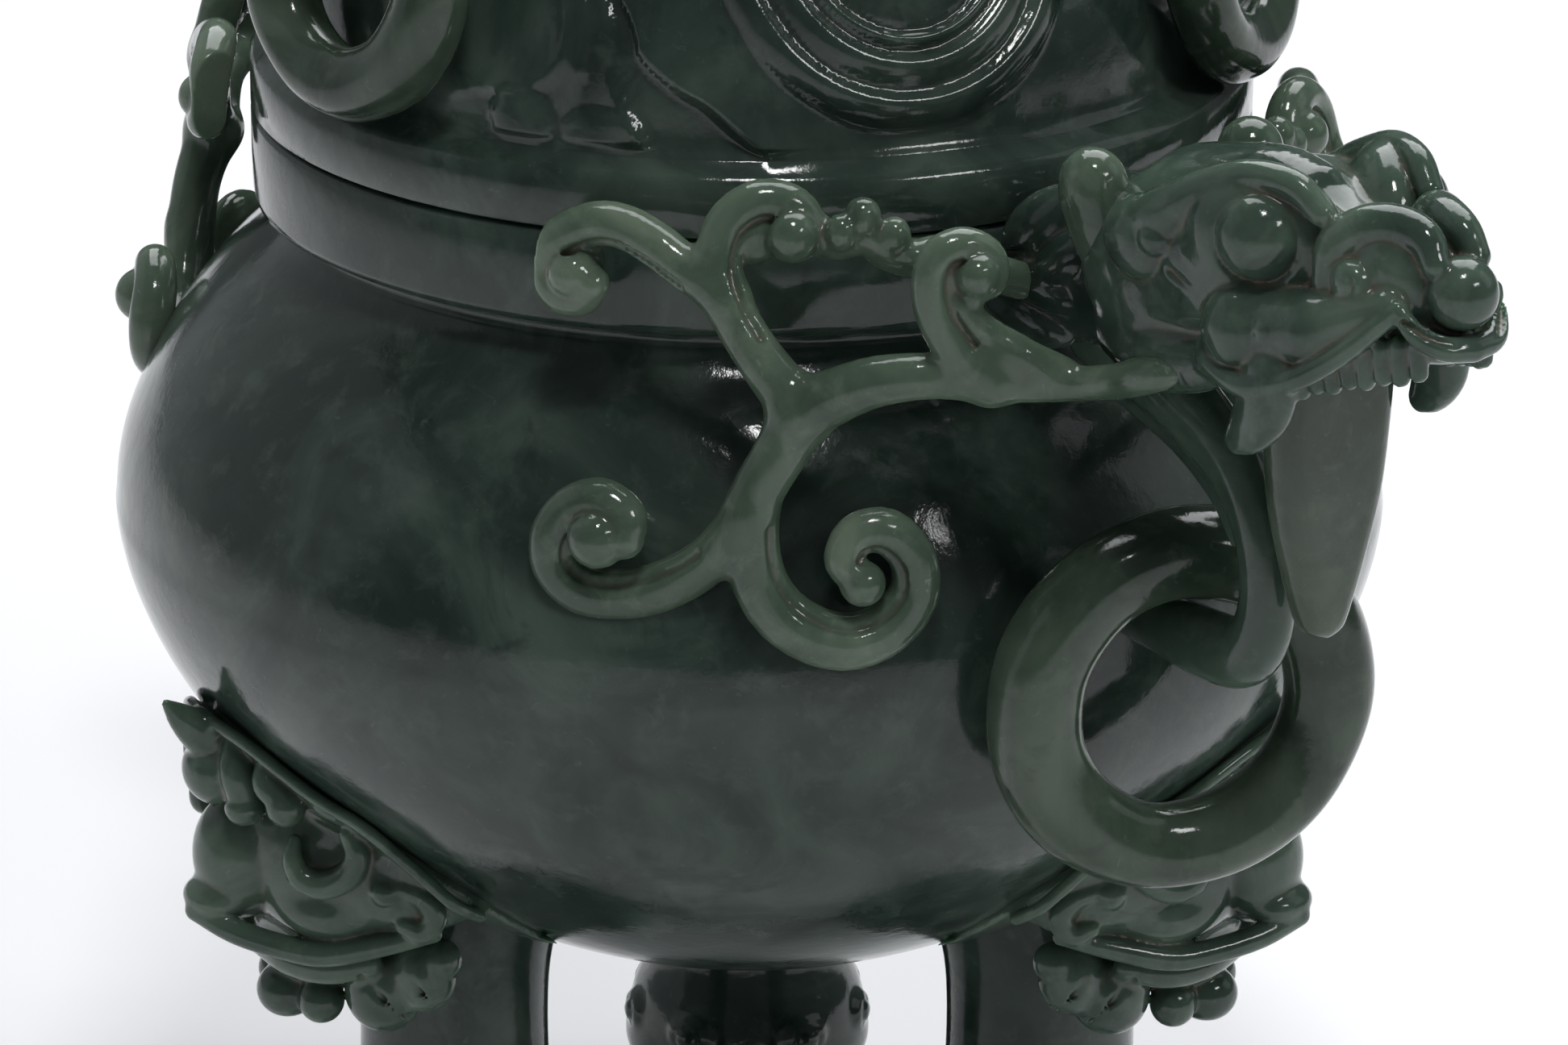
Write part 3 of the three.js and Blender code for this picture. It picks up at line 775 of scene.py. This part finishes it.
def make_mane():
    clay = Clay((40, -66, 4), (107, -4, 64), 0.38)
    for knots, count in (
        (BRANCH, 34), (UPPER_NEAR, 36), (UPPER_FAR, 36), (LOWER_NEAR, 48), (LOWER_FAR, 38), (UPPER_HEAD, 32)
    ):
        clay.add(vine(knots, count), 1.6)
    clay.add(vine(TENDRIL, 24), 0.7)
    # The knob where each curl ends.
    for centre, size in (
        ((62.9, -36.8, 55.1), 3.1), ((43.3, -53.7, 48.3), 3), ((73.9, -34.3, 16.1), 2.7),
        ((53.8, -57.3, 20), 3.5), ((83.2, -25.6, 54), 2.5)
    ):
        clay.add(ball(centre, size), 0.35)
    # Beads and a leaf on the tendril that runs to the neck.
    clay.add(ball((66.7, -29.8, 57), (2.2, 2.2, 2.5)), 0.5)
    clay.add(ball((66.2, -32.4, 55.6), (2, 1.9, 2.2)), 0.4)
    clay.add(ball((68.4, -26.6, 54.8), (2.1, 1.9, 2.3)), 0.4)
    clay.add(vine([(69.6, -25, 52.6, 1.6), (70, -21, 52.6, 1.9), (70.4, -16.4, 52.4, 1.2)], 12), 0.4)
    # Thin webs fill the curls, set back from their faces.
    for centre, bearing, across, tall in (
        ((59.5, -39.9, 54.9), -34, 3.4, 3.6), ((42.1, -52.1, 49.7), -50, 3, 3.2),
        ((80.6, -26.4, 52.6), -18, 2.6, 3.2)
    ):
        clay.add(ball(centre, (1.5, across, tall), facing(bearing)), 0.8)
    # The second root of the curl beside the head, and the web between the two.
    clay.add(vine([
        (87.6, -17.4, 42, 2.3), (84.9, -20.8, 44.4, 2), (82.8, -24.8, 47.6, 1.8), (81.8, -26.2, 50, 1.6)
    ], 16), 1.2)
    clay.add(ball((84, -22.8, 43.6), (2, 3.4, 3), facing(-15)), 1.2)
    # Fine lines that follow the curls.
    incise(clay, UPPER_NEAR, 42, 0.58, 70, (0.2, 0.86))
    incise(clay, UPPER_FAR, -42, 0.58, 60, (0.12, 0.86))
    incise(clay, LOWER_NEAR, -44, 0.58, 90, (0.2, 0.9))
    incise(clay, LOWER_FAR, 44, 0.58, 70, (0.1, 0.88))
    incise(clay, UPPER_HEAD, 40, 0.5, 50, (0.14, 0.9))
    return Carving(clay, groove_reach=0.6)


def make_handles():
    head, neck, horn = make_head(), make_neck(), make_horn()
    tongue, hanger, mane = make_tongue(), make_hanger(), make_mane()
    for side, bearing in HANDLES.items():
        head.place(f"carved_head_{side}", "censer", GREEN, f"dragon_head_{side}", bearing)
        neck.place(f"carved_neck_{side}", "censer", DARK, f"dragon_neck_{side}", bearing)
        tongue.place(f"carved_tongue_{side}", "censer", TONGUE, f"dragon_tongue_{side}", bearing + 90)
        hanger.place(f"carved_hanger_{side}", "censer", GREEN, f"ring_hanger_{side}", bearing)
        for letter, mirrored in (("a", True), ("b", False)):
            end = f"{side}_{letter}"
            horn.place(f"carved_horn_{end}", "censer", PALE, f"dragon_horn_{end}", bearing, mirrored)
            mane.place(f"carved_mane_{end}", "censer", PALE, f"mane_scroll_{end}", bearing, mirrored)


# Legs and their lion masks, sculpted in a frame where the leg stands out along +X.


def make_leg():
    clay = Clay((24, -20, -110), (64, 0, -42), 0.5, mirrored=True)
    shaft = smooth_path([
        (15.5, -110), (17, -106.5), (16, -100), (16.8, -95.5), (15.6, -89), (13, -82), (12, -70),
        (12.2, -58), (14.2, -48), (15, -43)
    ], 60)
    clay.add(spun(shaft, (LEG_REACH, 0)))
    # Three toes with claws, a heel and a cuff of curled hair.
    for turn in (-42, 0, 42):
        toe = polar(turn, 12.6, -103.6, LEG_REACH)
        clay.add(ball(toe, (6.2, 5, 6.4), facing(turn)), 0.8)
        claw = polar(turn, 18, -108.4, LEG_REACH)
        clay.add(rod((toe[0], toe[1], -105), claw, 2.6, 1.4), 0.4)
        clay.cut(hoop(toe, polar(turn, 1, 0.25), 6, 0.4), 0.4)
    clay.add(ball((LEG_REACH - 12, 0, -103.5), (5.5, 6.5, 6)), 1.5)
    for turn in (-150, -105, -60, -20, 20, 60, 105, 150):
        clay.add(ball(polar(turn, 14, -91.5, LEG_REACH), (3.4, 4.2, 3.4), facing(turn)), 0.5)
        clay.cut(hoop(polar(turn, 17, -91.5, LEG_REACH), polar(turn, 1, 0), 1.7, 0.3), 0.3)
    return Carving(clay)


def hood(thickness):
    """The mask's shell: what lies near the bowl's skin and below the mask's arched upper edge."""
    turns = [0, 5.9, 13.2, 18.7, 23.9, 26.3, 28.5]
    edges = [-17.4, -18.8, -23.3, -26.8, -33.8, -37.4, -45]

    def distance(x, y, z):
        turn = np.degrees(np.arctan2(np.abs(y), x))
        over = z - np.interp(turn, turns, edges)
        skin = np.hypot(x, y) - belly_radius(z) - thickness
        return np.maximum(np.maximum(skin * 0.85, over * 0.75), -47 - z)

    return np.array([40, -32, -47]), np.array([88, 0, -9]), distance


def on_bowl(turn, height, proud):
    """A point standing proud of the bowl at an angle from the mask's middle and a height."""
    return polar(-turn, float(belly_radius(height)) + proud, height)


def make_lion():
    clay = Clay((42, -31, -62), (85, 0, -10), 0.38, mirrored=True)
    clay.add(hood(1.6))
    edge = [
        (0, -17.3, 2.4), (5.9, -18.7, 1.5), (13.2, -23.2, 1.4), (18.7, -26.5, 1.2), (23.9, -33.4, 2.8),
        (26, -36.4, 3.9), (26.4, -39.2, 3)
    ]
    rim = [(*on_bowl(turn, height, proud), 0.85) for turn, height, proud in edge]
    clay.add(vine(rim, 40), 0.6)
    # Head, cheeks and jaw.
    clay.add(ball((58, 0, -35), (16, 19.5, 15)), 2)
    clay.add(ball((56, -15.5, -36), (10, 8.2, 8.4)), 3)
    clay.add(ball((60, 0, -49), (9.4, 10, 7)), 2.5)
    # A pointed crest above a block of hair, and rolls of hair on the forehead.
    clay.add(vine([
        (72.4, 0, -22.6, 4), (76.4, 0, -20, 3), (79.4, 0, -17.4, 1.9), (81.7, 0, -14.9, 0.6)
    ], 18), 1)
    clay.add(ball((75.4, 0, -24.6), (4, 4.8, 4.4)), 0.6)
    clay.add(vine([(74.4, -3.6, -20.6, 1.8), (75, -5.2, -23.6, 2.1), (74, -5.6, -26.8, 2.1)], 14), 0.5)
    clay.add(ball((74.2, -5.6, -28), (2.5, 2.5, 2.3)), 0.3)
    clay.add(vine([(72.4, -8.6, -21.6, 1.5), (73.2, -10, -23.6, 1.8), (72, -12, -25.4, 1.7)], 14), 0.5)
    clay.add(ball((71.6, -11.8, -26.2), 2.5), 0.35)
    clay.cut(vine([
        (73.4, -13.2, -24.2, 0.4), (73.8, -13.8, -26, 0.4), (72.8, -13.9, -27.6, 0.35),
        (71.4, -14.6, -27.4, 0.3)
    ], 14), 0.3)
    clay.add(vine([(69.2, -14.2, -23.6, 1.3), (68.4, -16.2, -25.4, 1.2), (66.4, -18.4, -26.8, 0.8)], 10), 0.6)
    # A large smooth muzzle, and the nose under it.
    clay.add(ball((63.5, -8, -40.8), (8.2, 9.6, 5.2)), 1.5)
    clay.add(ball((71.8, 0, -36.6), (6.3, 6.9, 8.2)), 0.5)
    clay.add(ball((75.6, 0, -41.4), (4.1, 4.8, 2.6)), 0.9)
    # Eyes: a thick open curl round a hollow.
    eye = [
        (70.9, -12.6, -30.4, 0.8), (71.5, -13.2, -32.6, 1.3), (70.8, -14, -34.8, 1.6),
        (68.8, -16, -35.6, 1.8), (66.6, -18.2, -33.9, 1.8), (65.8, -19.2, -31, 1.6),
        (66.6, -18.6, -28.4, 1.2)
    ]
    clay.add(vine(eye, 34), 0.4)
    clay.cut(ball((69.2, -16.2, -31.2), (2.3, 2.5, 2.5)), 0.6)
    # Small curls on the cheek.
    clay.add(ball((62.6, -20.4, -36), 2), 0.4)
    clay.add(vine([
        (61.2, -22, -35.4, 1), (58.8, -23.2, -36.8, 1.4), (57.6, -23.6, -39.2, 1.6),
        (58.8, -22.8, -41.2, 1.5), (60.8, -21.6, -40.4, 1.2)
    ], 20), 0.4)
    # Upper lip, a roll below it, and the chin tuft.
    lip = [
        (78.4, 0, -42.8, 1.5), (75.6, -5, -44.4, 1.6), (71.6, -10.2, -45.4, 1.6), (68, -14.2, -45.6, 1.6),
        (63.2, -18.4, -44, 1.5), (57.4, -23, -41.8, 1.1)
    ]
    clay.add(vine(lip, 36), 0.35)
    clay.cut(vine([
        (72.6, 0, -47.4, 1.1), (70.4, -6, -48.4, 1.1), (66.6, -12.4, -48.4, 0.9), (61, -17.4, -46.6, 0.7)
    ], 24), 0.5)
    clay.add(vine([
        (68.6, 0, -49.8, 1.9), (68, -5.4, -49.8, 2.1), (65.6, -10.4, -49.4, 2.1), (61.8, -13.8, -48.4, 1.7)
    ], 22), 0.5)
    clay.add(ball((66.2, 0, -56), (4, 3.9, 3.6)), 0.9)
    clay.add(ball((64.4, -5.6, -55.8), (2.9, 3, 3)), 0.6)
    # Broad soft beard locks that sweep back to the leg.
    clay.add(ball((58.4, -11.4, -53.4), (5, 5.2, 5.4)), 1.2)
    clay.add(ball((55.2, -15.8, -50.2), (4, 4.6, 5)), 1.2)
    clay.add(ball((54.2, -18.6, -47.6), 2.6), 0.5)
    clay.cut(vine([(63, -14.2, -49.4, 0.4), (61, -15.4, -52.4, 0.4), (57.4, -15.8, -55.8, 0.4)], 14), 0.4)
    clay.cut(vine([(60, -17.8, -47.4, 0.4), (58, -19, -50.4, 0.4), (54.4, -18.8, -53.6, 0.4)], 14), 0.4)
    return Carving(clay, groove_reach=0.7)


def make_legs():
    leg, lion = make_leg(), make_lion()
    for name, bearing in LEGS.items():
        leg.place(f"carved_leg_{name}", "censer", DARK, f"leg_{name}", bearing)
        lion.place(f"carved_lion_{name}", "censer", GREEN, f"lion_mask_{name}", bearing)


# The lid.

LID_WALL = [
    (62, 51.4), (62, 57.4), (61.2, 58.5), (58.9, 59.6), (58, 61.4), (57.5, 66), (56.5, 71.5), (55, 76),
    (52.8, 81.4), (50, 86), (46.4, 90.8), (42, 95), (37.2, 98.4), (32, 101), (26, 103.1), (20, 104.5),
    (10, 105), (0.5, 105)
]
# The first points of the wall are its plain rim.
RIM = 3
LID_INSIDE = [
    (0.5, 99), (14, 98.4), (28, 94), (36, 89), (42, 83), (46.5, 76), (49, 68), (49.2, 56), (49.2, 45.4),
    (49.6, 45), (52.6, 45), (53, 45.4), (53, 50.8), (53.3, 51.1), (61.6, 51.1)
]
# The bearings of the three ribbed lobes.
LOBES = (-15, 105, 225)


def ease(distance, width):
    """A smooth step from 0 to 1 across a line."""
    return 1 / (1 + np.exp(-np.clip(distance / width, -40, 40)))


def dome(away, radius, tall):
    """Height of a round bump at a distance from its middle."""
    return tall * np.sqrt(np.clip(1 - (away / radius) ** 2, 0, 1))


def fold(u, s, line, width):
    """Height of a fold of stone beside a line: a crisp step on one side that fades on the other."""
    line = smooth_path(line, 24)
    nearest = np.full(u.shape, 1e9)
    side = np.zeros(u.shape)
    for a, b in zip(line[:-1], line[1:]):
        e = b - a
        t = np.clip(((u - a[0]) * e[0] + (s - a[1]) * e[1]) / (e @ e), 0, 1)
        dx, ds = u - a[0] - t * e[0], s - a[1] - t * e[1]
        gap = np.hypot(dx, ds)
        closer = gap < nearest
        nearest = np.where(closer, gap, nearest)
        side = np.where(closer, np.sign(e[0] * ds - e[1] * dx), side)
    signed = nearest * side
    return ease(signed, 0.175) * np.exp(-np.maximum(signed, 0) / width)


# The strands beside each lobe: how tall and how wide a fold is, and the line that it follows.
FOLDS = (
    (1.7, 4.5, [(-33.8, 20), (-31.8, 14.5), (-31, 11.5), (-27.2, 8.2), (-24, 6.4), (-21, 3.6), (-18, 0.8)]),
    (1.4, 3, [(-31.8, 3.4), (-34, 8.2), (-34.4, 13), (-34.8, 20)]),
    (1.4, 2.6, [(-38.2, 10), (-37.4, 14), (-37.2, 20)]),
    (0.7, 3.5, [(-48.8, 6), (-42.6, 7.6), (-39.6, 12), (-39.2, 20)]),
)


def lid_relief(bearing, s):
    """Height of the carving on the lid, in mm, at a bearing in degrees and a distance up its wall."""
    height = np.zeros(bearing.shape)
    reach = np.interp(s, [0, 16, 27, 38, 50, 62], [57.8, 55.4, 50, 42, 32, 20])
    for lobe in LOBES:
        u = np.radians((bearing - lobe + 180) % 360 - 180) * reach
        away = np.hypot(u / 1.04, s - 24.6)
        bands = np.zeros(u.shape)
        for outer, inner in ((21, 17), (16.6, 12.6), (12.2, 10.4)):
            share = np.clip((outer - away) / (outer - inner), 0, 1)
            crown = np.sin(math.pi * share**1.7) ** 0.5
            bands += np.where((away < outer) & (away > inner), 1.15 * crown, 0)
        height += 0.8 * ease(21.2 - away, 0.18) + bands + dome(away, 10, 1.2)
        strands = sum(tall * fold(u, s, line, width) for tall, width, line in FOLDS)
        strands += dome(np.hypot(u + 46.4, s - 3), 4.2, 1.5)
        strands += dome(np.hypot((u + 36) / 1.8, s - 2.4), 3, 0.7)
        height += ease(away - 21.5, 0.3) * strands
    fade = np.clip(s / 1.6, 0, 1) * np.clip((46 - s) / 6, 0, 1)
    # Petals round the crown.
    petal = np.abs(np.sin(np.radians(bearing) * 8))
    crown = np.clip((s - 47) / 2, 0, 1) * np.clip((64 - s) / 3, 0, 1)
    return height * fade + crown * 0.9 * petal**0.5


def make_lid():
    wall = smooth_path(LID_WALL[RIM:], 134 if COARSE == 1.0 else 90)
    profile = np.concatenate([LID_WALL[:RIM], wall, smooth_path(LID_INSIDE, 26)])
    segments = 600 if COARSE == 1.0 else 300
    points, faces = lathe(profile, segments)
    rows = len(profile)
    steps = np.linalg.norm(np.diff(profile, axis=0, prepend=profile[:1]), axis=1)
    length = np.cumsum(steps) - steps[: RIM + 1].sum()
    slope = np.gradient(profile, axis=0)
    normal = np.stack([slope[:, 1], -slope[:, 0]], axis=1)
    normal /= np.maximum(np.linalg.norm(normal, axis=1, keepdims=True), 1e-9)
    on_wall = (np.arange(rows) >= RIM) & (np.arange(rows) < RIM + len(wall) - 2)
    bearing = np.broadcast_to(np.arange(segments) * (360 / segments), (rows, segments))
    relief = lid_relief(bearing, np.broadcast_to(length[:, None], bearing.shape)) * on_wall[:, None]
    grid = points.reshape(rows, segments, 3)
    outward = np.radians(bearing)
    grid[:, :, 0] += relief * normal[:, 0][:, None] * np.cos(outward)
    grid[:, :, 1] += relief * normal[:, 0][:, None] * np.sin(outward)
    grid[:, :, 2] += relief * normal[:, 1][:, None]
    flat = grid.reshape(-1, 3)
    bend = crevices(flat, faces, 0.8)
    mesh_piece("carved_lid", turned_points(flat, 0), faces, "lid", DARK, "lid_dome", bend)


def make_finial():
    clay = Clay((-20, -20, 103.5), (20, 20, 145.2), 0.5)
    clay.add(spun([(16.6, 103.8), (18, 106), (17.6, 108.4), (13, 111), (10.4, 114), (11, 117.4), (13, 119)]))
    clay.add(ball((0, 0, 130.5), (14.6, 14.6, 14.2)), 1.5)
    # Three rows of petals close over a lotus bud.
    petals = 6
    for row, (size, height, offset) in enumerate(((13.2, 124.5, 0), (11.6, 132, 30), (7.4, 138.6, 0))):
        for turn in [offset + i * 360 / petals for i in range(petals)]:
            tilt = facing(turn) @ Matrix.Rotation(math.radians(-14 - 16 * row), 4, "Y")
            clay.add(ball(polar(turn, size, height), (2.6, 5.6 - row, 7.4 - 1.2 * row), tilt), 0.5)
            clay.add(ball(polar(turn, size + 0.6, height + 5.6 - row), 1.9), 0.8)
    clay.add(ball((0, 0, 141.4), 3.4), 1)
    for turn in range(0, 360, 30):
        clay.cut(rod(polar(turn, 18.6, 104), polar(turn, 17.4, 110), 0.9, 0.7), 0.6)
    Carving(clay).place("carved_finial", "lid", DARK, "finial", LID_TURN)


def make_lid_mask():
    clay = Clay((30, -15, 84), (56, 0, 113), 0.36, mirrored=True)
    clay.add(ball((42, 0, 98), (9.8, 12.2, 11)))
    clay.add(ball((40.5, -9.6, 104.5), (3.4, 3, 5)), 0.6)
    clay.cut(ball((43.4, -10, 105), (2, 1.8, 3.2)), 0.5)
    clay.add(vine([
        (49.4, 0, 104, 1.6), (50, -3.4, 104.2, 1.7), (48.4, -7.6, 104, 1.6), (45.6, -10.4, 101.6, 1.3)
    ], 18), 0.5)
    clay.add(ball((48, -5, 100.4), (3.2, 3.3, 2.9)), 0.4)
    clay.add(rod((50.2, 0, 103), (52, 0, 98.4), 1.6, 2.2), 0.8)
    clay.add(ball((51.6, -2.2, 97.6), (2.2, 2.2, 1.9)), 0.5)
    clay.add(ball((47.6, -4.2, 94.8), (4.6, 5.4, 3.6)), 0.8)
    clay.cut(vine([(54, 0, 92.6, 0.8), (52, -5, 92.2, 0.8), (47.6, -9.2, 93.2, 0.7)], 14), 0.5)
    clay.add(ball((47.4, 0, 89.6), (4.4, 5.6, 3)), 0.8)
    for start, middle, tip in (
        ((45, -10.4, 97), (41.6, -12.6, 94), (39, -12.4, 90)),
        ((44, -11, 100.6), (40, -13, 98.6), (36.6, -13, 95)),
        ((43.5, -6, 108), (39.5, -7.4, 109), (35.4, -7.6, 106.6)),
        ((43.8, 0, 108.6), (39.6, 0, 110.6), (35.2, 0, 108.4))
    ):
        clay.add(vine([(*start, 1.9), (*middle, 1.9), (*tip, 0.9)], 12), 0.4)
    return Carving(clay)


def make_lid_loop():
    clay = Clay((47, -4, 82), (67, 0, 102.5), 0.3, mirrored=True)
    clay.add(hoop((58, 0, 92.4), (0, 1, 0), 7.6, 2.2))
    clay.add(ball((50.6, 0, 92.4), (2.6, 3.4, 4.4)), 1.2)
    clay.add(ball((58, 0, 100.4), (2.4, 2.4, 1.6)), 0.8)
    return Carving(clay)


def ring_points(major, tube, seed):
    """A stone ring in the XZ plane: slightly squared in section and uneven, as cut by hand."""
    around, section = (360, 56) if COARSE == 1.0 else (220, 36)
    squareness = 2.5
    a = np.arange(around)[:, None] * (2 * math.pi / around)
    b = np.arange(section)[None, :] * (2 * math.pi / section)
    wave = 0.1 * np.sin(3 * a + seed) + 0.07 * np.sin(7 * a + 2.1 * seed)
    wave += 0.05 * np.sin(11 * a + 3.7 * seed)
    swell = 0.03 * np.sin(2 * a + seed) + 0.015 * np.sin(5 * a + 1.3 * seed)
    sides = np.abs(np.cos(b + 0.35)) ** squareness + np.abs(np.sin(b + 0.35)) ** squareness
    thick = (tube * (1 + swell) - 0.15) * sides ** (-1 / squareness)
    away = major + wave * 0.6 + thick * np.cos(b)
    off = thick * np.sin(b) + 0.06 * np.sin(4 * a + seed)
    points = np.stack([away * np.cos(a), off, away * np.sin(a)], axis=2).reshape(-1, 3)
    return points, wrapped_quads(around, section)


def place_ring(solid, major, tube, seed, angle, axis, centre, bearing):
    """A ring that rides its own body, turned to face along X and then by an angle about an axis."""
    points, faces = ring_points(major, tube, seed)
    turn = Matrix.Rotation(math.radians(angle), 3, axis) @ Matrix.Rotation(math.radians(90), 3, "Z")
    points = turned_points(points @ np.array(turn).T + np.array(centre), bearing)
    mesh_piece(f"turned_{solid}", points, faces, solid, RING, solid)


def make_lid_parts():
    mask, loop = make_lid_mask(), make_lid_loop()
    for name, bearing in LEGS.items():
        bearing += LID_TURN
        mask.place(f"carved_lid_mask_{name}", "lid", GREEN, f"lid_mask_{name}", bearing)
        loop.place(f"carved_lid_loop_{name}", "lid", GREEN, f"lid_loop_{name}", bearing)


def make_rings():
    hang = BAR_HEIGHT + BAR_RADIUS + 0.3 - (RING_MAJOR - RING_TUBE)
    for i, (side, bearing) in enumerate(HANDLES.items()):
        size, centre = (RING_MAJOR, RING_TUBE), (RING_REACH, 0, hang)
        place_ring(f"handle_ring_{side}", *size, 0.7 + i, RING_TURN, "Z", centre, bearing)
    lean = math.radians(LID_RING_LEAN)
    out = LID_RING_REACH + LID_RING_MAJOR * math.sin(lean)
    for i, (name, bearing) in enumerate(LEGS.items()):
        centre = (out, 0, LID_RING_HEIGHT - LID_RING_MAJOR * math.cos(lean))
        size, turn = (LID_RING_MAJOR, LID_RING_TUBE), bearing + LID_TURN
        place_ring(f"lid_ring_{name}", *size, 2.9 + i, -LID_RING_LEAN, "Y", centre, turn)


make_bowl()
make_handles()
make_legs()
make_lid()
make_finial()
make_lid_parts()
make_rings()


def make_stage():
    floor = bpy.data.meshes.new("table_top")
    sides = 96
    edge = [polar(360 * i / sides, TABLE_RADIUS, 0) for i in range(sides)]
    floor.from_pydata(edge, [], [tuple(range(sides))])
    top = bpy.data.objects.new("table_top", floor)
    bpy.context.scene.collection.objects.link(top)
    material = bpy.data.materials.new("table_paint")
    material.use_nodes = True
    paint = {"Base Color": (0.86, 0.86, 0.87, 1), "Roughness": 0.75}
    fill(material.node_tree.nodes["Principled BSDF"], paint)
    floor.materials.append(material)


# Places and sizes here are in metres.
TABLE_RADIUS = 3.2
# The camera looks down at the censer from between its front leg and its right handle.
CAMERA_AZIMUTH = 56.0
CAMERA_DOWN = 19.66
CAMERA_DISTANCE = 0.8
CAMERA_LENS = 144.8
CAMERA_ROLL = 0.4
AIM_RIGHT = 0.00435
AIM_UP = -0.00557
SENSOR = 36
LIGHT_CENTRE = Vector((0, 0, 0.12))


def from_camera(azimuth, elevation):
    """The unit vector from the object to a viewer at that azimuth and elevation."""
    a, e = math.radians(azimuth), math.radians(elevation)
    return Vector((math.sin(a) * math.cos(e), -math.cos(a) * math.cos(e), math.sin(e)))


def make_camera():
    centre = Vector((0, 0, BELLY * MM))
    back = from_camera(CAMERA_AZIMUTH, CAMERA_DOWN)
    place = centre + back * CAMERA_DISTANCE
    right = Vector((math.cos(math.radians(CAMERA_AZIMUTH)), math.sin(math.radians(CAMERA_AZIMUTH)), 0))
    up = back.cross(right)
    aim = centre + right * AIM_RIGHT + up * AIM_UP
    camera = bpy.data.objects.new("camera", bpy.data.cameras.new("camera"))
    camera.data.lens = CAMERA_LENS
    camera.data.sensor_width = SENSOR
    camera.data.clip_start, camera.data.clip_end = 0.05, 20
    camera.location = place
    camera.rotation_mode = "QUATERNION"
    look = (aim - place).to_track_quat("-Z", "Y")
    roll = Matrix.Rotation(math.radians(CAMERA_ROLL), 3, "Z").to_quaternion()
    camera.rotation_quaternion = look @ roll
    bpy.context.scene.collection.objects.link(camera)
    bpy.context.scene.camera = camera


def area_light(name, azimuth, elevation, distance, size, power, colour=(1, 1, 1)):
    """A lamp that faces the censer; its azimuth is counted from the camera's."""
    lamp = bpy.data.lights.new(name, "AREA")
    lamp.shape = "RECTANGLE"
    lamp.size, lamp.size_y = size
    lamp.energy = power
    lamp.color = colour
    place = LIGHT_CENTRE + from_camera(CAMERA_AZIMUTH + azimuth, elevation) * distance
    holder = bpy.data.objects.new(name, lamp)
    holder.location = place
    holder.rotation_mode = "QUATERNION"
    holder.rotation_quaternion = (LIGHT_CENTRE - place).to_track_quat("-Z", "Y")
    bpy.context.scene.collection.objects.link(holder)


def make_lights():
    world = bpy.data.worlds.new("studio")
    bpy.context.scene.world = world
    world.use_nodes = True
    fill(world.node_tree.nodes["Background"], {"Color": (0.62, 0.64, 0.68, 1), "Strength": 0.16})
    area_light("wall_left", -112, 20, 1.7, (2.6, 1.5), 2.9, (0.92, 0.96, 1))
    area_light("soft_box_right", 95, 30, 1.6, (0.8, 1), 1.2, (0.95, 0.97, 1))
    area_light("key_above", 5, 66, 1.5, (0.26, 0.26), 7)
    area_light("strip_right", 47, 36, 1.4, (0.36, 0.18), 3)
    area_light("top_panel", 172, 58, 1.9, (1.9, 1.5), 40, (0.97, 0.98, 1))


make_stage()
make_camera()
make_lights()
bpy.context.scene.view_settings.view_transform = "Standard"
